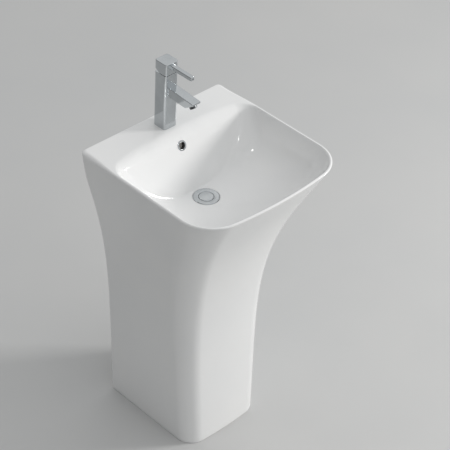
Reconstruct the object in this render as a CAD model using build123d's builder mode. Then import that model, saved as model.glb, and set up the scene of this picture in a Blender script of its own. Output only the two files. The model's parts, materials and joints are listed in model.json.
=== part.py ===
"""Pedestal wash basin: one-piece ceramic bowl and pedestal, lever tap, click waste and bottle trap.

Millimetres. +Z is up, the floor is z = 0, the wall is at +Y and the user stands at -Y.
"""
import os
from math import atan2, cos, pi, sin, sqrt

from build123d import *

os.makedirs("parts", exist_ok=True)

# Overall sizes of the ceramic
deck_height = 850.0
rim_width = 470.0
rim_depth = 460.0
foot_width = 254.0
foot_depth = 315.0
ceramic_wall = 12.0
deck_thickness = 14.0
rim_wall = 9.0
crest_radius = 3.5
crest_sections = 5

# Flare of the pedestal: lean is the straight share, power and swell shape the curve
side_lean = 0.287
side_power = 5.72
side_swell = 4.51
front_lean = -0.246
front_power = 5.17
front_swell = 2.49
foot_corner = 50.0
rim_corner = 98.0
corner_power = 2.3
front_bow_radius = 1225.0
rear_draw = 3.0
skin_margin = 4.0
flare_sections = 10
flare_ease = 1.4

# Bowl
bowl_depth = 135.0
bowl_fullness = 3.2
bowl_floor_margin = 2.5
bowl_sections = 11
bowl_ease = 2.2
deck_run = 95.0
rear_bow = 17.0
rear_fall = 0.9
rear_corner = 36.0
rear_corner_swell = 90.0

# Rear opening and wall fixings
rear_opening_width = 200.0
rear_opening_corner = 66.0
rear_rail_height = 90.0
fixing_spacing = 280.0
fixing_hole = 12.0
fixing_drop = 60.0

# Waste hole, its boss and the overflow
drain_from_wall = 203.0
waste_hole_gap = 2.0
waste_boss_wall = 23.0
waste_boss_height = 43.0
flange_recess = 4.0
flange_recess_clearance = 1.0
overflow_drop = 31.0
overflow_hole = 22.0
overflow_flange_width = 2.5
overflow_flange_thickness = 2.0
overflow_sink = 1.0
overflow_edge = 0.6
overflow_ring_wall = 1.5
overflow_sleeve = 12.0
duct_bore = 18.0
duct_wall = 6.0
duct_set_back = 30.0
duct_foot_margin = 2.0
duct_rise = 20.0

# Tap body
tap_from_wall = 47.0
tap_width = 41.5
tap_edge = 6.5
tap_edge_top = 0.6
column_height = 156.0
tap_hole_cover = 2.75
spout_set_in = 7.25
spout_edge = 1.8
spout_top = 118.0
spout_thickness = 22.5
spout_reach = 88.0
spout_tip_run = 25.5
spout_tip_rise = 17.5
spout_fall = 7.0
spout_under_fall = 3.0
spout_bore = 8.0
inlet_bore = 8.5
inlet_depth = 16.0
inlet_spacing = 17.4
inlet_back = 4.0
supply_bore = 4.5
base_seal_inset = 1.0
base_seal_thickness = 1.5

# Aerator
aerator_from_tip = 16.0
aerator_outer = 19.0
aerator_wall = 1.5
aerator_stand_out = 7.0
aerator_depth = 6.0
aerator_insert_height = 8.0
aerator_hole = 1.6
aerator_hole_pitch = 2.3
aerator_hole_rows = 5
aerator_chamfer = 0.8
aerator_seal_height = 1.5

# Tap fixing under the deck
stud_diameter = 8.0
stud_hole_gap = 3.0
stud_in_column = 14.0
stud_below_deck = 46.0
stud_chamfer = 0.8
clamp_overlap = 7.0
clamp_slot_gap = 2.75
clamp_web = 2.0
clamp_gasket_height = 3.0
clamp_plate_height = 3.0
stud_nut_across = 13.0
stud_nut_height = 16.0

# Cartridge, stacked down from the top of the column
nut_height = 3.8
nut_below_top = 0.2
nut_thread_depth = 1.5
nut_neck_gap = 0.8
cartridge_outer = 25.0
cartridge_wall = 2.0
cartridge_lip = 3.0
guide_side_gap = 0.3
guide_flange_height = 2.3
guide_neck = 17.0
guide_above_pin = 4.0
driver_outer = 15.0
driver_height = 4.6
moving_disc_outer = 14.0
moving_disc_height = 3.3
disc_pocket_depth = 1.5
fixed_disc_side_gap = 0.3
fixed_disc_height = 4.0
cartridge_base_height = 5.0
port_bore = 4.5
port_spacing = 12.0
outlet_forward = 5.0
port_seal_width = 1.2
port_seal_height = 1.0

# Handle
pin_above_column = 2.0
pin_diameter = 2.5
pin_set_in = 1.0
spindle_arm = 13.0
spindle_ball = 5.0
spindle_shank = 3.6
spindle_bar = 6.0
spindle_bar_below_pin = 5.0
spindle_top_above_pin = 21.0
handle_gap = 1.5
handle_height = 31.5
handle_edge_top = 2.0
handle_pocket = 22.0
handle_pocket_edge = 4.0
handle_pocket_above_pin = 7.2
wedge_start = 3.65
wedge_rise = 11.0
lever_length = 72.0
lever_width = 12.5
lever_height = 11.0
lever_edge = 2.5
lever_below_top = 10.5
lever_tenon = 6.0
lever_tenon_length = 5.0
grub_diameter = 5.0
grub_length = 8.0
grub_socket = 2.5
grub_socket_depth = 2.5
grub_below_top = 16.0
screw_plug_diameter = 7.0
screw_plug_length = 4.0
tilt_limit = 0.33

# Waste
waste_flange_overlap = 12.5
waste_flange_height = 3.0
flange_dish = 1.0
waste_seal_height = 2.0
waste_seal_width = 10.0
waste_tube = 42.0
waste_tube_wall = 3.5
plug_opening_wall = 1.0
plug_seat_step = 4.0
waste_tail = 71.0
overflow_slot_width = 14.0
overflow_slot_height = 16.0
backnut_wall = 10.0
backnut_height = 10.0
backnut_sides = 8
bottom_washer_height = 4.0
bridge_width = 5.0
bridge_height = 8.0
bridge_drop = 41.0
bridge_hub = 16.0
plug_side_gap = 1.0
plug_cap_height = 3.0
plug_hub = 14.0
plug_hub_height = 5.0
plug_seal_height = 1.8
plug_seal_set_in = 0.5
plug_stem_diameter = 5.0
plug_stem_length = 38.0
click_outer = 10.0
click_length = 24.0
click_wall = 2.0
click_floor_gap = 2.0
spring_wire = 1.0
spring_coil = 8.0
spring_turns = 5
spring_seat_gap = 0.3

# Bottle trap
trap_nut_wall = 6.0
trap_nut_height = 24.0
trap_nut_lip = 4.0
trap_nut_sides = 10
trap_washer_height = 3.0
trap_flange_height = 3.0
pipe_outer = 32.0
pipe_wall = 2.0
dip_length = 78.0
trap_outer = 76.0
trap_wall = 3.0
trap_top_drop = 24.0
trap_height = 70.0
trap_cup_height = 46.0
trap_cup_spigot = 10.0
trap_seal_height = 2.0
trap_outlet_drop = 22.0
outlet_stub_wall = 3.8
outlet_stub_length = 26.0
outlet_nut_wall = 5.0
outlet_nut_length = 22.0
outlet_nut_lip = 4.0
wall_flange_width = 18.0
wall_flange_depth = 8.0
wall_flange_edge = 2.5

# Clearances
fit_gap = 0.05
seat_gap = 0.3
slide_gap = 0.2
thread_gap = 0.1
overcut = 5.0

# Places worked out from the sizes above
wall_y = rim_depth / 2
drain_y = wall_y - drain_from_wall
tap_y = wall_y - tap_from_wall
deck_underside = deck_height - deck_thickness
bowl_floor = deck_height - bowl_depth
column_top = deck_height + column_height
pin_z = column_top + pin_above_column
boss_bottom = bowl_floor - waste_boss_height

# Sizes that follow from what each piece fits
waste_hole = waste_tube + 2 * waste_hole_gap
waste_boss = waste_hole + 2 * waste_boss_wall
waste_flange = waste_tube + 2 * waste_flange_overlap
waste_seal_outer = waste_tube + 2 * waste_seal_width
bowl_floor_radius = waste_flange / 2 + flange_recess_clearance + bowl_floor_margin
duct_foot_reach = waste_boss / 2 + duct_foot_margin
overflow_flange = overflow_hole + 2 * overflow_flange_width
overflow_bore = overflow_hole - 2 * overflow_ring_wall
plug_opening = waste_tube - 2 * plug_opening_wall
plug_diameter = plug_opening - 2 * plug_side_gap
plug_seal_outer = plug_diameter - 2 * plug_seal_set_in
backnut_outer = waste_tube + 2 * backnut_wall
trap_nut_outer = waste_tube + 2 * trap_nut_wall
tap_hole = tap_width - 2 * tap_hole_cover
stud_forward = tap_hole / 2 - stud_diameter / 2 - stud_hole_gap
spout_width = tap_width - 2 * spout_set_in
wedge_run = tap_width / 2 - wedge_start
clamp_diameter = tap_hole + 2 * clamp_overlap
clamp_slot = inlet_spacing + inlet_bore + 2 * clamp_slot_gap
nut_outer = cartridge_outer + 2 * nut_thread_depth
nut_bore = guide_neck + 2 * nut_neck_gap
housing_inner = cartridge_outer - 2 * cartridge_wall
guide_flange_outer = housing_inner - 2 * guide_side_gap
fixed_disc_outer = housing_inner - 2 * fixed_disc_side_gap
pin_length = guide_neck - 2 * pin_set_in
outlet_stub = pipe_outer + 2 * slide_gap + 2 * outlet_stub_wall
outlet_nut_outer = outlet_stub + 2 * outlet_nut_wall
wall_flange_outer = pipe_outer + 2 * wall_flange_width


def flare(level, lean, power, swell):
    """Share of the way from the foot size to the rim size at a level between 0 and 1."""
    return lean * level + (1 - lean) * level**power * (1 + swell * (1 - level))


def crest_loss(growth, lean, power, swell):
    """How far the rounded crest draws in a rim that has grown by so much from the foot."""
    step = crest_radius / deck_height
    slope = growth * (1 - flare(1 - step, lean, power, swell)) / crest_radius
    return crest_radius * (slope + sqrt(1 + slope**2) - 1)


# Rim sizes before the crest is rounded
sharp_width = rim_width + 2 * crest_loss((rim_width - foot_width) / 2, side_lean, side_power, side_swell)
sharp_depth = rim_depth + crest_loss(rim_depth - foot_depth, front_lean, front_power, front_swell)


def side_at(z):
    """Outer half width of the ceramic at height z."""
    share = flare(z / deck_height, side_lean, side_power, side_swell)
    return (foot_width + (sharp_width - foot_width) * share) / 2


def front_at(z):
    """Distance of the ceramic's front from the wall at height z."""
    share = flare(z / deck_height, front_lean, front_power, front_swell)
    return foot_depth + (sharp_depth - foot_depth) * share


def corner_at(z):
    """Outer corner radius of the ceramic at height z."""
    return foot_corner + (rim_corner - foot_corner) * (z / deck_height) ** corner_power


def shell_outline(z, inset, rear):
    """Draw the ceramic's outline at height z back to the rear, drawn in by the inset at the sides and front."""
    half = side_at(z) - inset
    bow = half**2 / (2 * front_bow_radius)
    front = wall_y - front_at(z) + inset
    with BuildSketch(Plane.XY.offset(z)) as outline:
        with BuildLine():
            Line((-half, front + bow), (-half + rear_draw, rear))
            Line((-half + rear_draw, rear), (half - rear_draw, rear))
            Line((half - rear_draw, rear), (half, front + bow))
            ThreePointArc((half, front + bow), (0, front), (-half, front + bow))
        make_face()
        fillet(vertices().group_by(Axis.Y)[0], corner_at(z) - inset)
    return outline.sketch.face()


def rear_reach(z, skin):
    """Distance from the waste back to the bowl's rear slope at height z."""
    depth = (deck_height - z) / (bowl_depth + skin)
    at_deck = drain_from_wall - deck_run
    return bowl_floor_radius + skin + (at_deck - bowl_floor_radius) * (1 - depth) ** rear_fall


def bowl_outline(z, skin, wall, lip=0):
    """Draw the bowl's outline at height z, grown by a skin and a lip, with a wall left to the outside."""
    depth = (deck_height - z) / (bowl_depth + skin)
    spread = (1 - depth**bowl_fullness) ** 0.5
    floor = bowl_floor_radius + skin
    half = floor + (side_at(z) - wall - floor) * spread + lip
    front = drain_y - floor - (front_at(z) - wall - drain_from_wall - floor) * spread - lip
    rear = drain_y + rear_reach(z, skin) + lip
    bow = seat_gap + spread * half**2 / (2 * front_bow_radius)
    back = seat_gap + rear_bow * spread
    front_corner = floor + (corner_at(z) - wall - floor) * spread + lip
    back_corner = floor + (rear_corner - floor) * spread + rear_corner_swell * depth * (1 - depth) + lip
    with BuildSketch(Plane.XY.offset(z)) as outline:
        with BuildLine():
            Line((-half, front + bow), (-half, rear - back))
            Line((half, front + bow), (half, rear - back))
            ThreePointArc((half, front + bow), (0, front), (-half, front + bow))
            ThreePointArc((-half, rear - back), (0, rear), (half, rear - back))
        make_face()
        fillet(vertices().sort_by(Axis.Y)[:2], min(front_corner, half - slide_gap))
        fillet(vertices().sort_by(Axis.Y)[-2:], min(back_corner, half - slide_gap))
    return outline.sketch.face()


def spaced(start, stop, count, ease):
    """Heights from start to stop, closer together towards the stop for an ease above 1."""
    return [stop + (start - stop) * (1 - step / (count - 1)) ** ease for step in range(count)]


def turned(points, axis_y):
    """Revolve a half outline of (radius, height) points about the upright axis at axis_y."""
    with BuildSketch(Plane.XZ.offset(-axis_y)) as profile:
        with BuildLine():
            Polyline(*points, close=True)
        make_face()
    revolve(profile.sketch, axis=Axis((0, axis_y, 0), (0, 0, 1)))


def ring(outer, bore, low, high, axis_y):
    """Revolve a plain ring of the given diameters between two heights."""
    turned([(bore / 2, low), (outer / 2, low), (outer / 2, high), (bore / 2, high)], axis_y)


def bored(diameter, low, high, x, y):
    """Cut an upright round hole between two heights."""
    with BuildSketch(Plane.XY.offset(low)) as outline:
        with Locations((x, y)):
            Circle(diameter / 2)
    extrude(outline.sketch, amount=high - low, mode=Mode.SUBTRACT)


# Ceramic: flared shell, hollow pedestal, bowl, waste boss and overflow duct
overflow_z = deck_height - overflow_drop
overflow_y = drain_y + rear_reach(overflow_z, 0)
slope_run = rear_reach(overflow_z + 1, 0) - rear_reach(overflow_z - 1, 0)
slope_angle = atan2(2, slope_run)
overflow_plane = Plane(
    origin=(0, overflow_y, overflow_z), x_dir=(1, 0, 0), z_dir=(0, -sin(slope_angle), cos(slope_angle))
)
duct_top = overflow_plane.from_local_coords(Vector(0, 0, -duct_set_back))
duct_foot_z = boss_bottom + duct_rise
duct_path = [
    (0, overflow_y, overflow_z),
    (0, duct_top.Y, duct_top.Z),
    (0, drain_y + duct_foot_reach, duct_foot_z),
    (0, drain_y + waste_hole / 2, duct_foot_z),
]
recess_floor = bowl_floor - flange_recess
crest_bottom = deck_height - crest_radius
with BuildPart() as ceramic_basin:
    flare_levels = spaced(0, deck_height, flare_sections, flare_ease)
    loft([shell_outline(z, 0, wall_y + overcut) for z in flare_levels])
    rim_edges = ceramic_basin.edges().group_by(Axis.Z)[-1].sort_by(Axis.Y)[:-1]
    fillet(rim_edges, crest_radius)
    split(bisect_by=Plane.XZ.offset(-wall_y), keep=Keep.TOP)
    cavity_levels = spaced(0, deck_underside, flare_sections, flare_ease)
    loft([shell_outline(z, ceramic_wall, wall_y - ceramic_wall) for z in cavity_levels], mode=Mode.SUBTRACT)
    with BuildSketch(Plane.XZ.offset(-wall_y - overcut)):
        with Locations((0, (deck_underside - rear_rail_height) / 2)):
            Rectangle(rear_opening_width, deck_underside - rear_rail_height)
        fillet(vertices().group_by(Axis.Y)[-1], rear_opening_corner)
    extrude(amount=ceramic_wall + 2 * overcut, mode=Mode.SUBTRACT)
    skin_levels = spaced(deck_height - crest_radius, bowl_floor - ceramic_wall, bowl_sections, bowl_ease)
    loft([bowl_outline(z, ceramic_wall, skin_margin) for z in skin_levels])
    ring(waste_boss, waste_hole, boss_bottom, bowl_floor, drain_y)
    with BuildSketch(overflow_plane):
        Circle(duct_bore / 2 + duct_wall)
    with BuildLine():
        Polyline(*duct_path)
    sweep(transition=Transition.ROUND)
    bowl_levels = spaced(crest_bottom, bowl_floor, bowl_sections, bowl_ease)
    loft([bowl_outline(z, 0, rim_wall) for z in bowl_levels], mode=Mode.SUBTRACT)
    crest_angles = [pi / 2 * step / (crest_sections - 1) for step in range(crest_sections)]
    crest = [(crest_bottom + crest_radius * sin(a), crest_radius * (1 - cos(a))) for a in crest_angles]
    loft([bowl_outline(z, 0, rim_wall, lip) for z, lip in crest], mode=Mode.SUBTRACT)
    with BuildSketch(overflow_plane):
        Circle(duct_bore / 2)
    with BuildLine():
        Polyline(*duct_path[:-1], (0, drain_y, duct_foot_z))
    sweep(transition=Transition.ROUND, mode=Mode.SUBTRACT)
    with BuildSketch(overflow_plane.offset(-overflow_sleeve)):
        Circle(overflow_hole / 2)
    extrude(amount=overflow_sleeve + overcut, mode=Mode.SUBTRACT)
    with BuildSketch(overflow_plane.offset(-overflow_sink)):
        Circle(overflow_flange / 2 + flange_recess_clearance)
    extrude(amount=overcut, mode=Mode.SUBTRACT)
    bored(waste_flange + 2 * flange_recess_clearance, recess_floor, bowl_floor + overcut, 0, drain_y)
    bored(waste_hole, boss_bottom - overcut, bowl_floor, 0, drain_y)
    bored(tap_hole, deck_underside - overcut, deck_height + overcut, 0, tap_y)
    with BuildSketch(Plane.XZ.offset(-wall_y - overcut)):
        with Locations((0, deck_height - fixing_drop)):
            with GridLocations(fixing_spacing, 0, 2, 1):
                Circle(fixing_hole / 2)
    extrude(amount=ceramic_wall + 2 * overcut, mode=Mode.SUBTRACT)
ceramic_basin.part.label = "ceramic_basin"
export_step(ceramic_basin.part, "parts/ceramic_basin.step")

# Overflow ring, let into the bowl's rear slope
with BuildPart() as overflow_ring:
    with BuildSketch(overflow_plane.offset(-overflow_sink)):
        Circle(overflow_flange / 2)
        Circle(overflow_bore / 2, mode=Mode.SUBTRACT)
    extrude(amount=overflow_flange_thickness)
    outward = Axis(overflow_plane.origin, overflow_plane.z_dir)
    fillet(overflow_ring.faces().sort_by(outward)[-1].edges(), overflow_edge)
    with BuildSketch(overflow_plane.offset(-overflow_sink)):
        Circle(overflow_hole / 2 - fit_gap)
        Circle(overflow_bore / 2, mode=Mode.SUBTRACT)
    extrude(amount=overflow_sink - overflow_sleeve + fit_gap)
overflow_ring.part.label = "overflow_ring"
export_step(overflow_ring.part, "parts/overflow_ring.step")

# Tap body: square column and falling spout, with the cartridge seat, waterways and fixing threads
nut_bottom = column_top - nut_below_top - nut_height
lip_bottom = nut_bottom - cartridge_lip
guide_top = lip_bottom - slide_gap
guide_bottom = guide_top - guide_flange_height
driver_top = guide_bottom - slide_gap
driver_bottom = driver_top - driver_height
moving_bottom = driver_bottom - moving_disc_height
fixed_top = moving_bottom - fit_gap
fixed_bottom = fixed_top - fixed_disc_height
seat_z = fixed_bottom - cartridge_base_height
column_front = tap_y - tap_width / 2
spout_z = deck_height + spout_top
spout_under = spout_z - spout_thickness
spout_tip = column_front - spout_reach
tip_slope = atan2(spout_tip_rise, spout_tip_run)
aerator_y = spout_tip + aerator_from_tip * cos(tip_slope)
aerator_z = spout_under + spout_tip_rise - aerator_from_tip * sin(tip_slope)
aerator_plane = Plane(
    origin=(0, aerator_y, aerator_z), x_dir=(1, 0, 0), z_dir=(0, sin(tip_slope), cos(tip_slope))
)
aerator_head = aerator_plane.from_local_coords(Vector(0, 0, aerator_depth))
channel_z = spout_z - spout_thickness / 2
outlet_y = tap_y - outlet_forward
inlet_y = tap_y + inlet_back
stud_y = tap_y - stud_forward
with BuildPart() as tap_body:
    with BuildSketch(Plane.YZ):
        with BuildLine():
            Polyline(
                (tap_y, spout_z + spout_fall),
                (tap_y, spout_under + spout_under_fall),
                (spout_tip + spout_tip_run, spout_under),
                (spout_tip, spout_under + spout_tip_rise),
                (spout_tip, spout_z),
                close=True,
            )
        make_face()
    extrude(amount=spout_width / 2, both=True)
    spout_edges = tap_body.edges().filter_by_position(Axis.Y, spout_tip, tap_y - fit_gap)
    fillet(spout_edges, spout_edge)
    with BuildSketch(Plane.XY.offset(deck_height)):
        with Locations((0, tap_y)):
            RectangleRounded(tap_width, tap_width, tap_edge)
    extrude(amount=column_height)
    fillet(tap_body.edges().group_by(Axis.Z)[-1], tap_edge_top)
    bored(nut_outer + 2 * thread_gap, nut_bottom, column_top + overcut, 0, tap_y)
    bored(cartridge_outer + 2 * slide_gap, seat_z, nut_bottom, 0, tap_y)
    bored(port_bore, channel_z, seat_z, 0, outlet_y)
    for side in (-1, 1):
        bored(supply_bore, deck_height + inlet_depth, seat_z, side * port_spacing / 2, inlet_y)
        bored(inlet_bore, deck_height, deck_height + inlet_depth, side * inlet_spacing / 2, inlet_y)
    bored(stud_diameter + 2 * fit_gap, deck_height, deck_height + stud_in_column, 0, stud_y)
    with BuildSketch(Plane.XZ.offset(-outlet_y)):
        with Locations((0, channel_z)):
            Circle(spout_bore / 2)
    extrude(amount=outlet_y - aerator_head.Y, mode=Mode.SUBTRACT)
    with BuildSketch(aerator_plane.offset(-aerator_stand_out)):
        Circle(aerator_outer / 2 + fit_gap)
    extrude(amount=aerator_stand_out + aerator_depth, mode=Mode.SUBTRACT)
    with BuildSketch(Plane.XY.offset(deck_height)):
        with Locations((0, tap_y)):
            RectangleRounded(tap_width - 2 * base_seal_inset, tap_width - 2 * base_seal_inset, tap_edge)
    extrude(amount=base_seal_thickness, mode=Mode.SUBTRACT)
tap_body.part.label = "tap_body"
export_step(tap_body.part, "parts/tap_body.step")

# Seal under the column
base_seal_width = tap_width - 2 * base_seal_inset - 2 * fit_gap
with BuildPart() as tap_base_seal:
    with BuildSketch(Plane.XY.offset(deck_height)):
        with Locations((0, tap_y)):
            RectangleRounded(base_seal_width, base_seal_width, tap_edge)
            Circle(tap_hole / 2, mode=Mode.SUBTRACT)
    extrude(amount=base_seal_thickness)
tap_base_seal.part.label = "tap_base_seal"
export_step(tap_base_seal.part, "parts/tap_base_seal.step")

# Aerator, square to the slope under the spout's tip
aerator_inner = aerator_outer - 2 * aerator_wall
housing_depth = aerator_depth - aerator_seal_height
with BuildPart() as aerator_housing:
    with BuildSketch(aerator_plane.offset(housing_depth)):
        Circle(aerator_outer / 2)
    extrude(amount=-housing_depth - aerator_stand_out)
    outward = Axis(aerator_plane.origin, -aerator_plane.z_dir)
    chamfer(aerator_housing.faces().sort_by(outward)[-1].edges(), aerator_chamfer)
    with BuildSketch(aerator_plane.offset(housing_depth)):
        Circle(aerator_inner / 2)
    extrude(amount=aerator_wall - housing_depth - aerator_stand_out, mode=Mode.SUBTRACT)
    with BuildSketch(aerator_plane.offset(housing_depth)):
        Circle(aerator_inner / 2 - aerator_wall)
    extrude(amount=-housing_depth - aerator_stand_out, mode=Mode.SUBTRACT)
aerator_housing.part.label = "aerator_housing"
export_step(aerator_housing.part, "parts/aerator_housing.step")

with BuildPart() as aerator_insert:
    with BuildSketch(aerator_plane.offset(aerator_wall - aerator_stand_out)):
        Circle(aerator_inner / 2 - fit_gap)
        with GridLocations(aerator_hole_pitch, aerator_hole_pitch, aerator_hole_rows, aerator_hole_rows):
            Circle(aerator_hole / 2, mode=Mode.SUBTRACT)
    extrude(amount=aerator_insert_height)
aerator_insert.part.label = "aerator_insert"
export_step(aerator_insert.part, "parts/aerator_insert.step")

with BuildPart() as aerator_seal:
    with BuildSketch(aerator_plane.offset(housing_depth)):
        Circle(aerator_outer / 2)
        Circle(aerator_inner / 2, mode=Mode.SUBTRACT)
    extrude(amount=aerator_seal_height)
aerator_seal.part.label = "aerator_seal"
export_step(aerator_seal.part, "parts/aerator_seal.step")

# Stud, horseshoe clamp and nut that pull the tap down on the deck
gasket_bottom = deck_underside - clamp_gasket_height
plate_bottom = gasket_bottom - clamp_plate_height
with BuildPart() as tap_stud:
    with BuildSketch(Plane.XY.offset(deck_underside - stud_below_deck)):
        with Locations((0, stud_y)):
            Circle(stud_diameter / 2)
    extrude(amount=stud_below_deck + deck_thickness + stud_in_column)
    chamfer(tap_stud.edges().filter_by(GeomType.CIRCLE), stud_chamfer)
tap_stud.part.label = "tap_stud"
export_step(tap_stud.part, "parts/tap_stud.step")


def horseshoe(low):
    """Sketch of the horseshoe clamp, open to the rear for the two inlets."""
    with BuildSketch(Plane.XY.offset(low)) as outline:
        with Locations((0, tap_y)):
            Circle(clamp_diameter / 2)
        with Locations((0, stud_y + stud_diameter / 2 + clamp_web)):
            Rectangle(clamp_slot, clamp_diameter, align=(Align.CENTER, Align.MIN), mode=Mode.SUBTRACT)
        with Locations((0, stud_y)):
            Circle(stud_diameter / 2 + slide_gap, mode=Mode.SUBTRACT)
    return outline.sketch


with BuildPart() as clamp_gasket:
    extrude(horseshoe(gasket_bottom), amount=clamp_gasket_height)
clamp_gasket.part.label = "clamp_gasket"
export_step(clamp_gasket.part, "parts/clamp_gasket.step")

with BuildPart() as clamp_plate:
    extrude(horseshoe(plate_bottom), amount=clamp_plate_height)
clamp_plate.part.label = "clamp_plate"
export_step(clamp_plate.part, "parts/clamp_plate.step")

with BuildPart() as stud_nut:
    with BuildSketch(Plane.XY.offset(plate_bottom - stud_nut_height)):
        with Locations((0, stud_y)):
            RegularPolygon(stud_nut_across / 2, 6, major_radius=False)
            Circle(stud_diameter / 2 + fit_gap, mode=Mode.SUBTRACT)
    extrude(amount=stud_nut_height)
stud_nut.part.label = "stud_nut"
export_step(stud_nut.part, "parts/stud_nut.step")

# Cartridge: base with port seals, fixed disc, housing and nut
port_places = [(-port_spacing / 2, inlet_y), (port_spacing / 2, inlet_y), (0, outlet_y)]
seal_outer = port_bore + 2 * port_seal_width
with BuildPart() as cartridge_base:
    with BuildSketch(Plane.XY.offset(seat_z)):
        with Locations((0, tap_y)):
            Circle(cartridge_outer / 2)
    extrude(amount=cartridge_base_height)
    for x, y in port_places:
        bored(port_bore, seat_z, fixed_bottom, x, y)
        bored(seal_outer + 2 * fit_gap, seat_z, seat_z + port_seal_height, x, y)
cartridge_base.part.label = "cartridge_base"
export_step(cartridge_base.part, "parts/cartridge_base.step")

with BuildPart() as cartridge_seals:
    with BuildSketch(Plane.XY.offset(seat_z)):
        with Locations(*port_places):
            Circle(seal_outer / 2)
            Circle(port_bore / 2, mode=Mode.SUBTRACT)
    extrude(amount=port_seal_height)
cartridge_seals.part.label = "cartridge_seals"
export_step(cartridge_seals.part, "parts/cartridge_seals.step")

with BuildPart() as fixed_ceramic_disc:
    with BuildSketch(Plane.XY.offset(fixed_bottom)):
        with Locations((0, tap_y)):
            Circle(fixed_disc_outer / 2)
        with Locations(*port_places):
            Circle(port_bore / 2, mode=Mode.SUBTRACT)
    extrude(amount=fixed_disc_height)
fixed_ceramic_disc.part.label = "fixed_ceramic_disc"
export_step(fixed_ceramic_disc.part, "parts/fixed_ceramic_disc.step")

with BuildPart() as cartridge_housing:
    turned(
        [
            (housing_inner / 2, fixed_bottom),
            (cartridge_outer / 2, fixed_bottom),
            (cartridge_outer / 2, nut_bottom),
            (guide_neck / 2 + slide_gap, nut_bottom),
            (guide_neck / 2 + slide_gap, lip_bottom),
            (housing_inner / 2, lip_bottom),
        ],
        tap_y,
    )
cartridge_housing.part.label = "cartridge_housing"
export_step(cartridge_housing.part, "parts/cartridge_housing.step")

with BuildPart() as cartridge_nut:
    ring(nut_outer, nut_bore, nut_bottom, nut_bottom + nut_height, tap_y)
cartridge_nut.part.label = "cartridge_nut"
export_step(cartridge_nut.part, "parts/cartridge_nut.step")

# Sliding disc and its driver, set back at rest so that the travel is centred
disc_travel = spindle_arm * sin(tilt_limit)
disc_y = tap_y + disc_travel / 2
ball_z = pin_z - spindle_arm
with BuildPart() as moving_ceramic_disc:
    with BuildSketch(Plane.XY.offset(moving_bottom)):
        with Locations((0, disc_y)):
            Circle(moving_disc_outer / 2)
    extrude(amount=moving_disc_height)
    bored(moving_disc_outer / 2, moving_bottom, moving_bottom + disc_pocket_depth, 0, disc_y)
moving_ceramic_disc.part.label = "moving_ceramic_disc"
export_step(moving_ceramic_disc.part, "parts/moving_ceramic_disc.step")

with BuildPart() as disc_driver:
    with BuildSketch(Plane.XY.offset(driver_bottom)):
        with Locations((0, disc_y)):
            Circle(driver_outer / 2)
    extrude(amount=driver_height)
    socket_floor = ball_z - spindle_ball / 2 - seat_gap
    bored(spindle_ball + 2 * seat_gap, socket_floor, driver_top, 0, tap_y)
disc_driver.part.label = "disc_driver"
export_step(disc_driver.part, "parts/disc_driver.step")

# Guide that turns with the handle, and the pin that the spindle tilts on
guide_neck_top = pin_z + guide_above_pin
guide_slot_width = spindle_bar + 2 * seat_gap
guide_slot_length = 2 * (disc_travel + spindle_ball / 2 + seat_gap)
with BuildPart() as spindle_guide:
    turned(
        [
            (0, guide_bottom),
            (guide_flange_outer / 2, guide_bottom),
            (guide_flange_outer / 2, guide_top),
            (guide_neck / 2, guide_top),
            (guide_neck / 2, guide_neck_top),
            (0, guide_neck_top),
        ],
        tap_y,
    )
    with BuildSketch(Plane.XY.offset(guide_bottom)):
        with Locations((0, tap_y)):
            Rectangle(guide_slot_width, guide_slot_length)
    extrude(amount=guide_neck_top - guide_bottom, mode=Mode.SUBTRACT)
    with BuildSketch(Plane.YZ):
        with Locations((tap_y, pin_z)):
            Circle(pin_diameter / 2 + fit_gap)
    extrude(amount=guide_neck, both=True, mode=Mode.SUBTRACT)
spindle_guide.part.label = "spindle_guide"
export_step(spindle_guide.part, "parts/spindle_guide.step")

with BuildPart() as spindle_pin:
    with BuildSketch(Plane.YZ):
        with Locations((tap_y, pin_z)):
            Circle(pin_diameter / 2)
    extrude(amount=pin_length / 2, both=True)
spindle_pin.part.label = "spindle_pin"
export_step(spindle_pin.part, "parts/spindle_pin.step")

# Spindle: ball end in the driver, square bar up into the handle
bar_bottom = pin_z - spindle_bar_below_pin
bar_top = pin_z + spindle_top_above_pin
with BuildPart() as cartridge_spindle:
    with Locations((0, tap_y, ball_z)):
        Sphere(spindle_ball / 2)
    with BuildSketch(Plane.XY.offset(ball_z)):
        with Locations((0, tap_y)):
            Circle(spindle_shank / 2)
    extrude(amount=bar_bottom - ball_z)
    with BuildSketch(Plane.XY.offset(bar_bottom)):
        with Locations((0, tap_y)):
            Rectangle(spindle_bar, spindle_bar)
    extrude(amount=bar_top - bar_bottom)
    with BuildSketch(Plane.YZ):
        with Locations((tap_y, pin_z)):
            Circle(pin_diameter / 2 + fit_gap)
    extrude(amount=spindle_bar, both=True, mode=Mode.SUBTRACT)
cartridge_spindle.part.label = "cartridge_spindle"
export_step(cartridge_spindle.part, "parts/cartridge_spindle.step")

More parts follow.
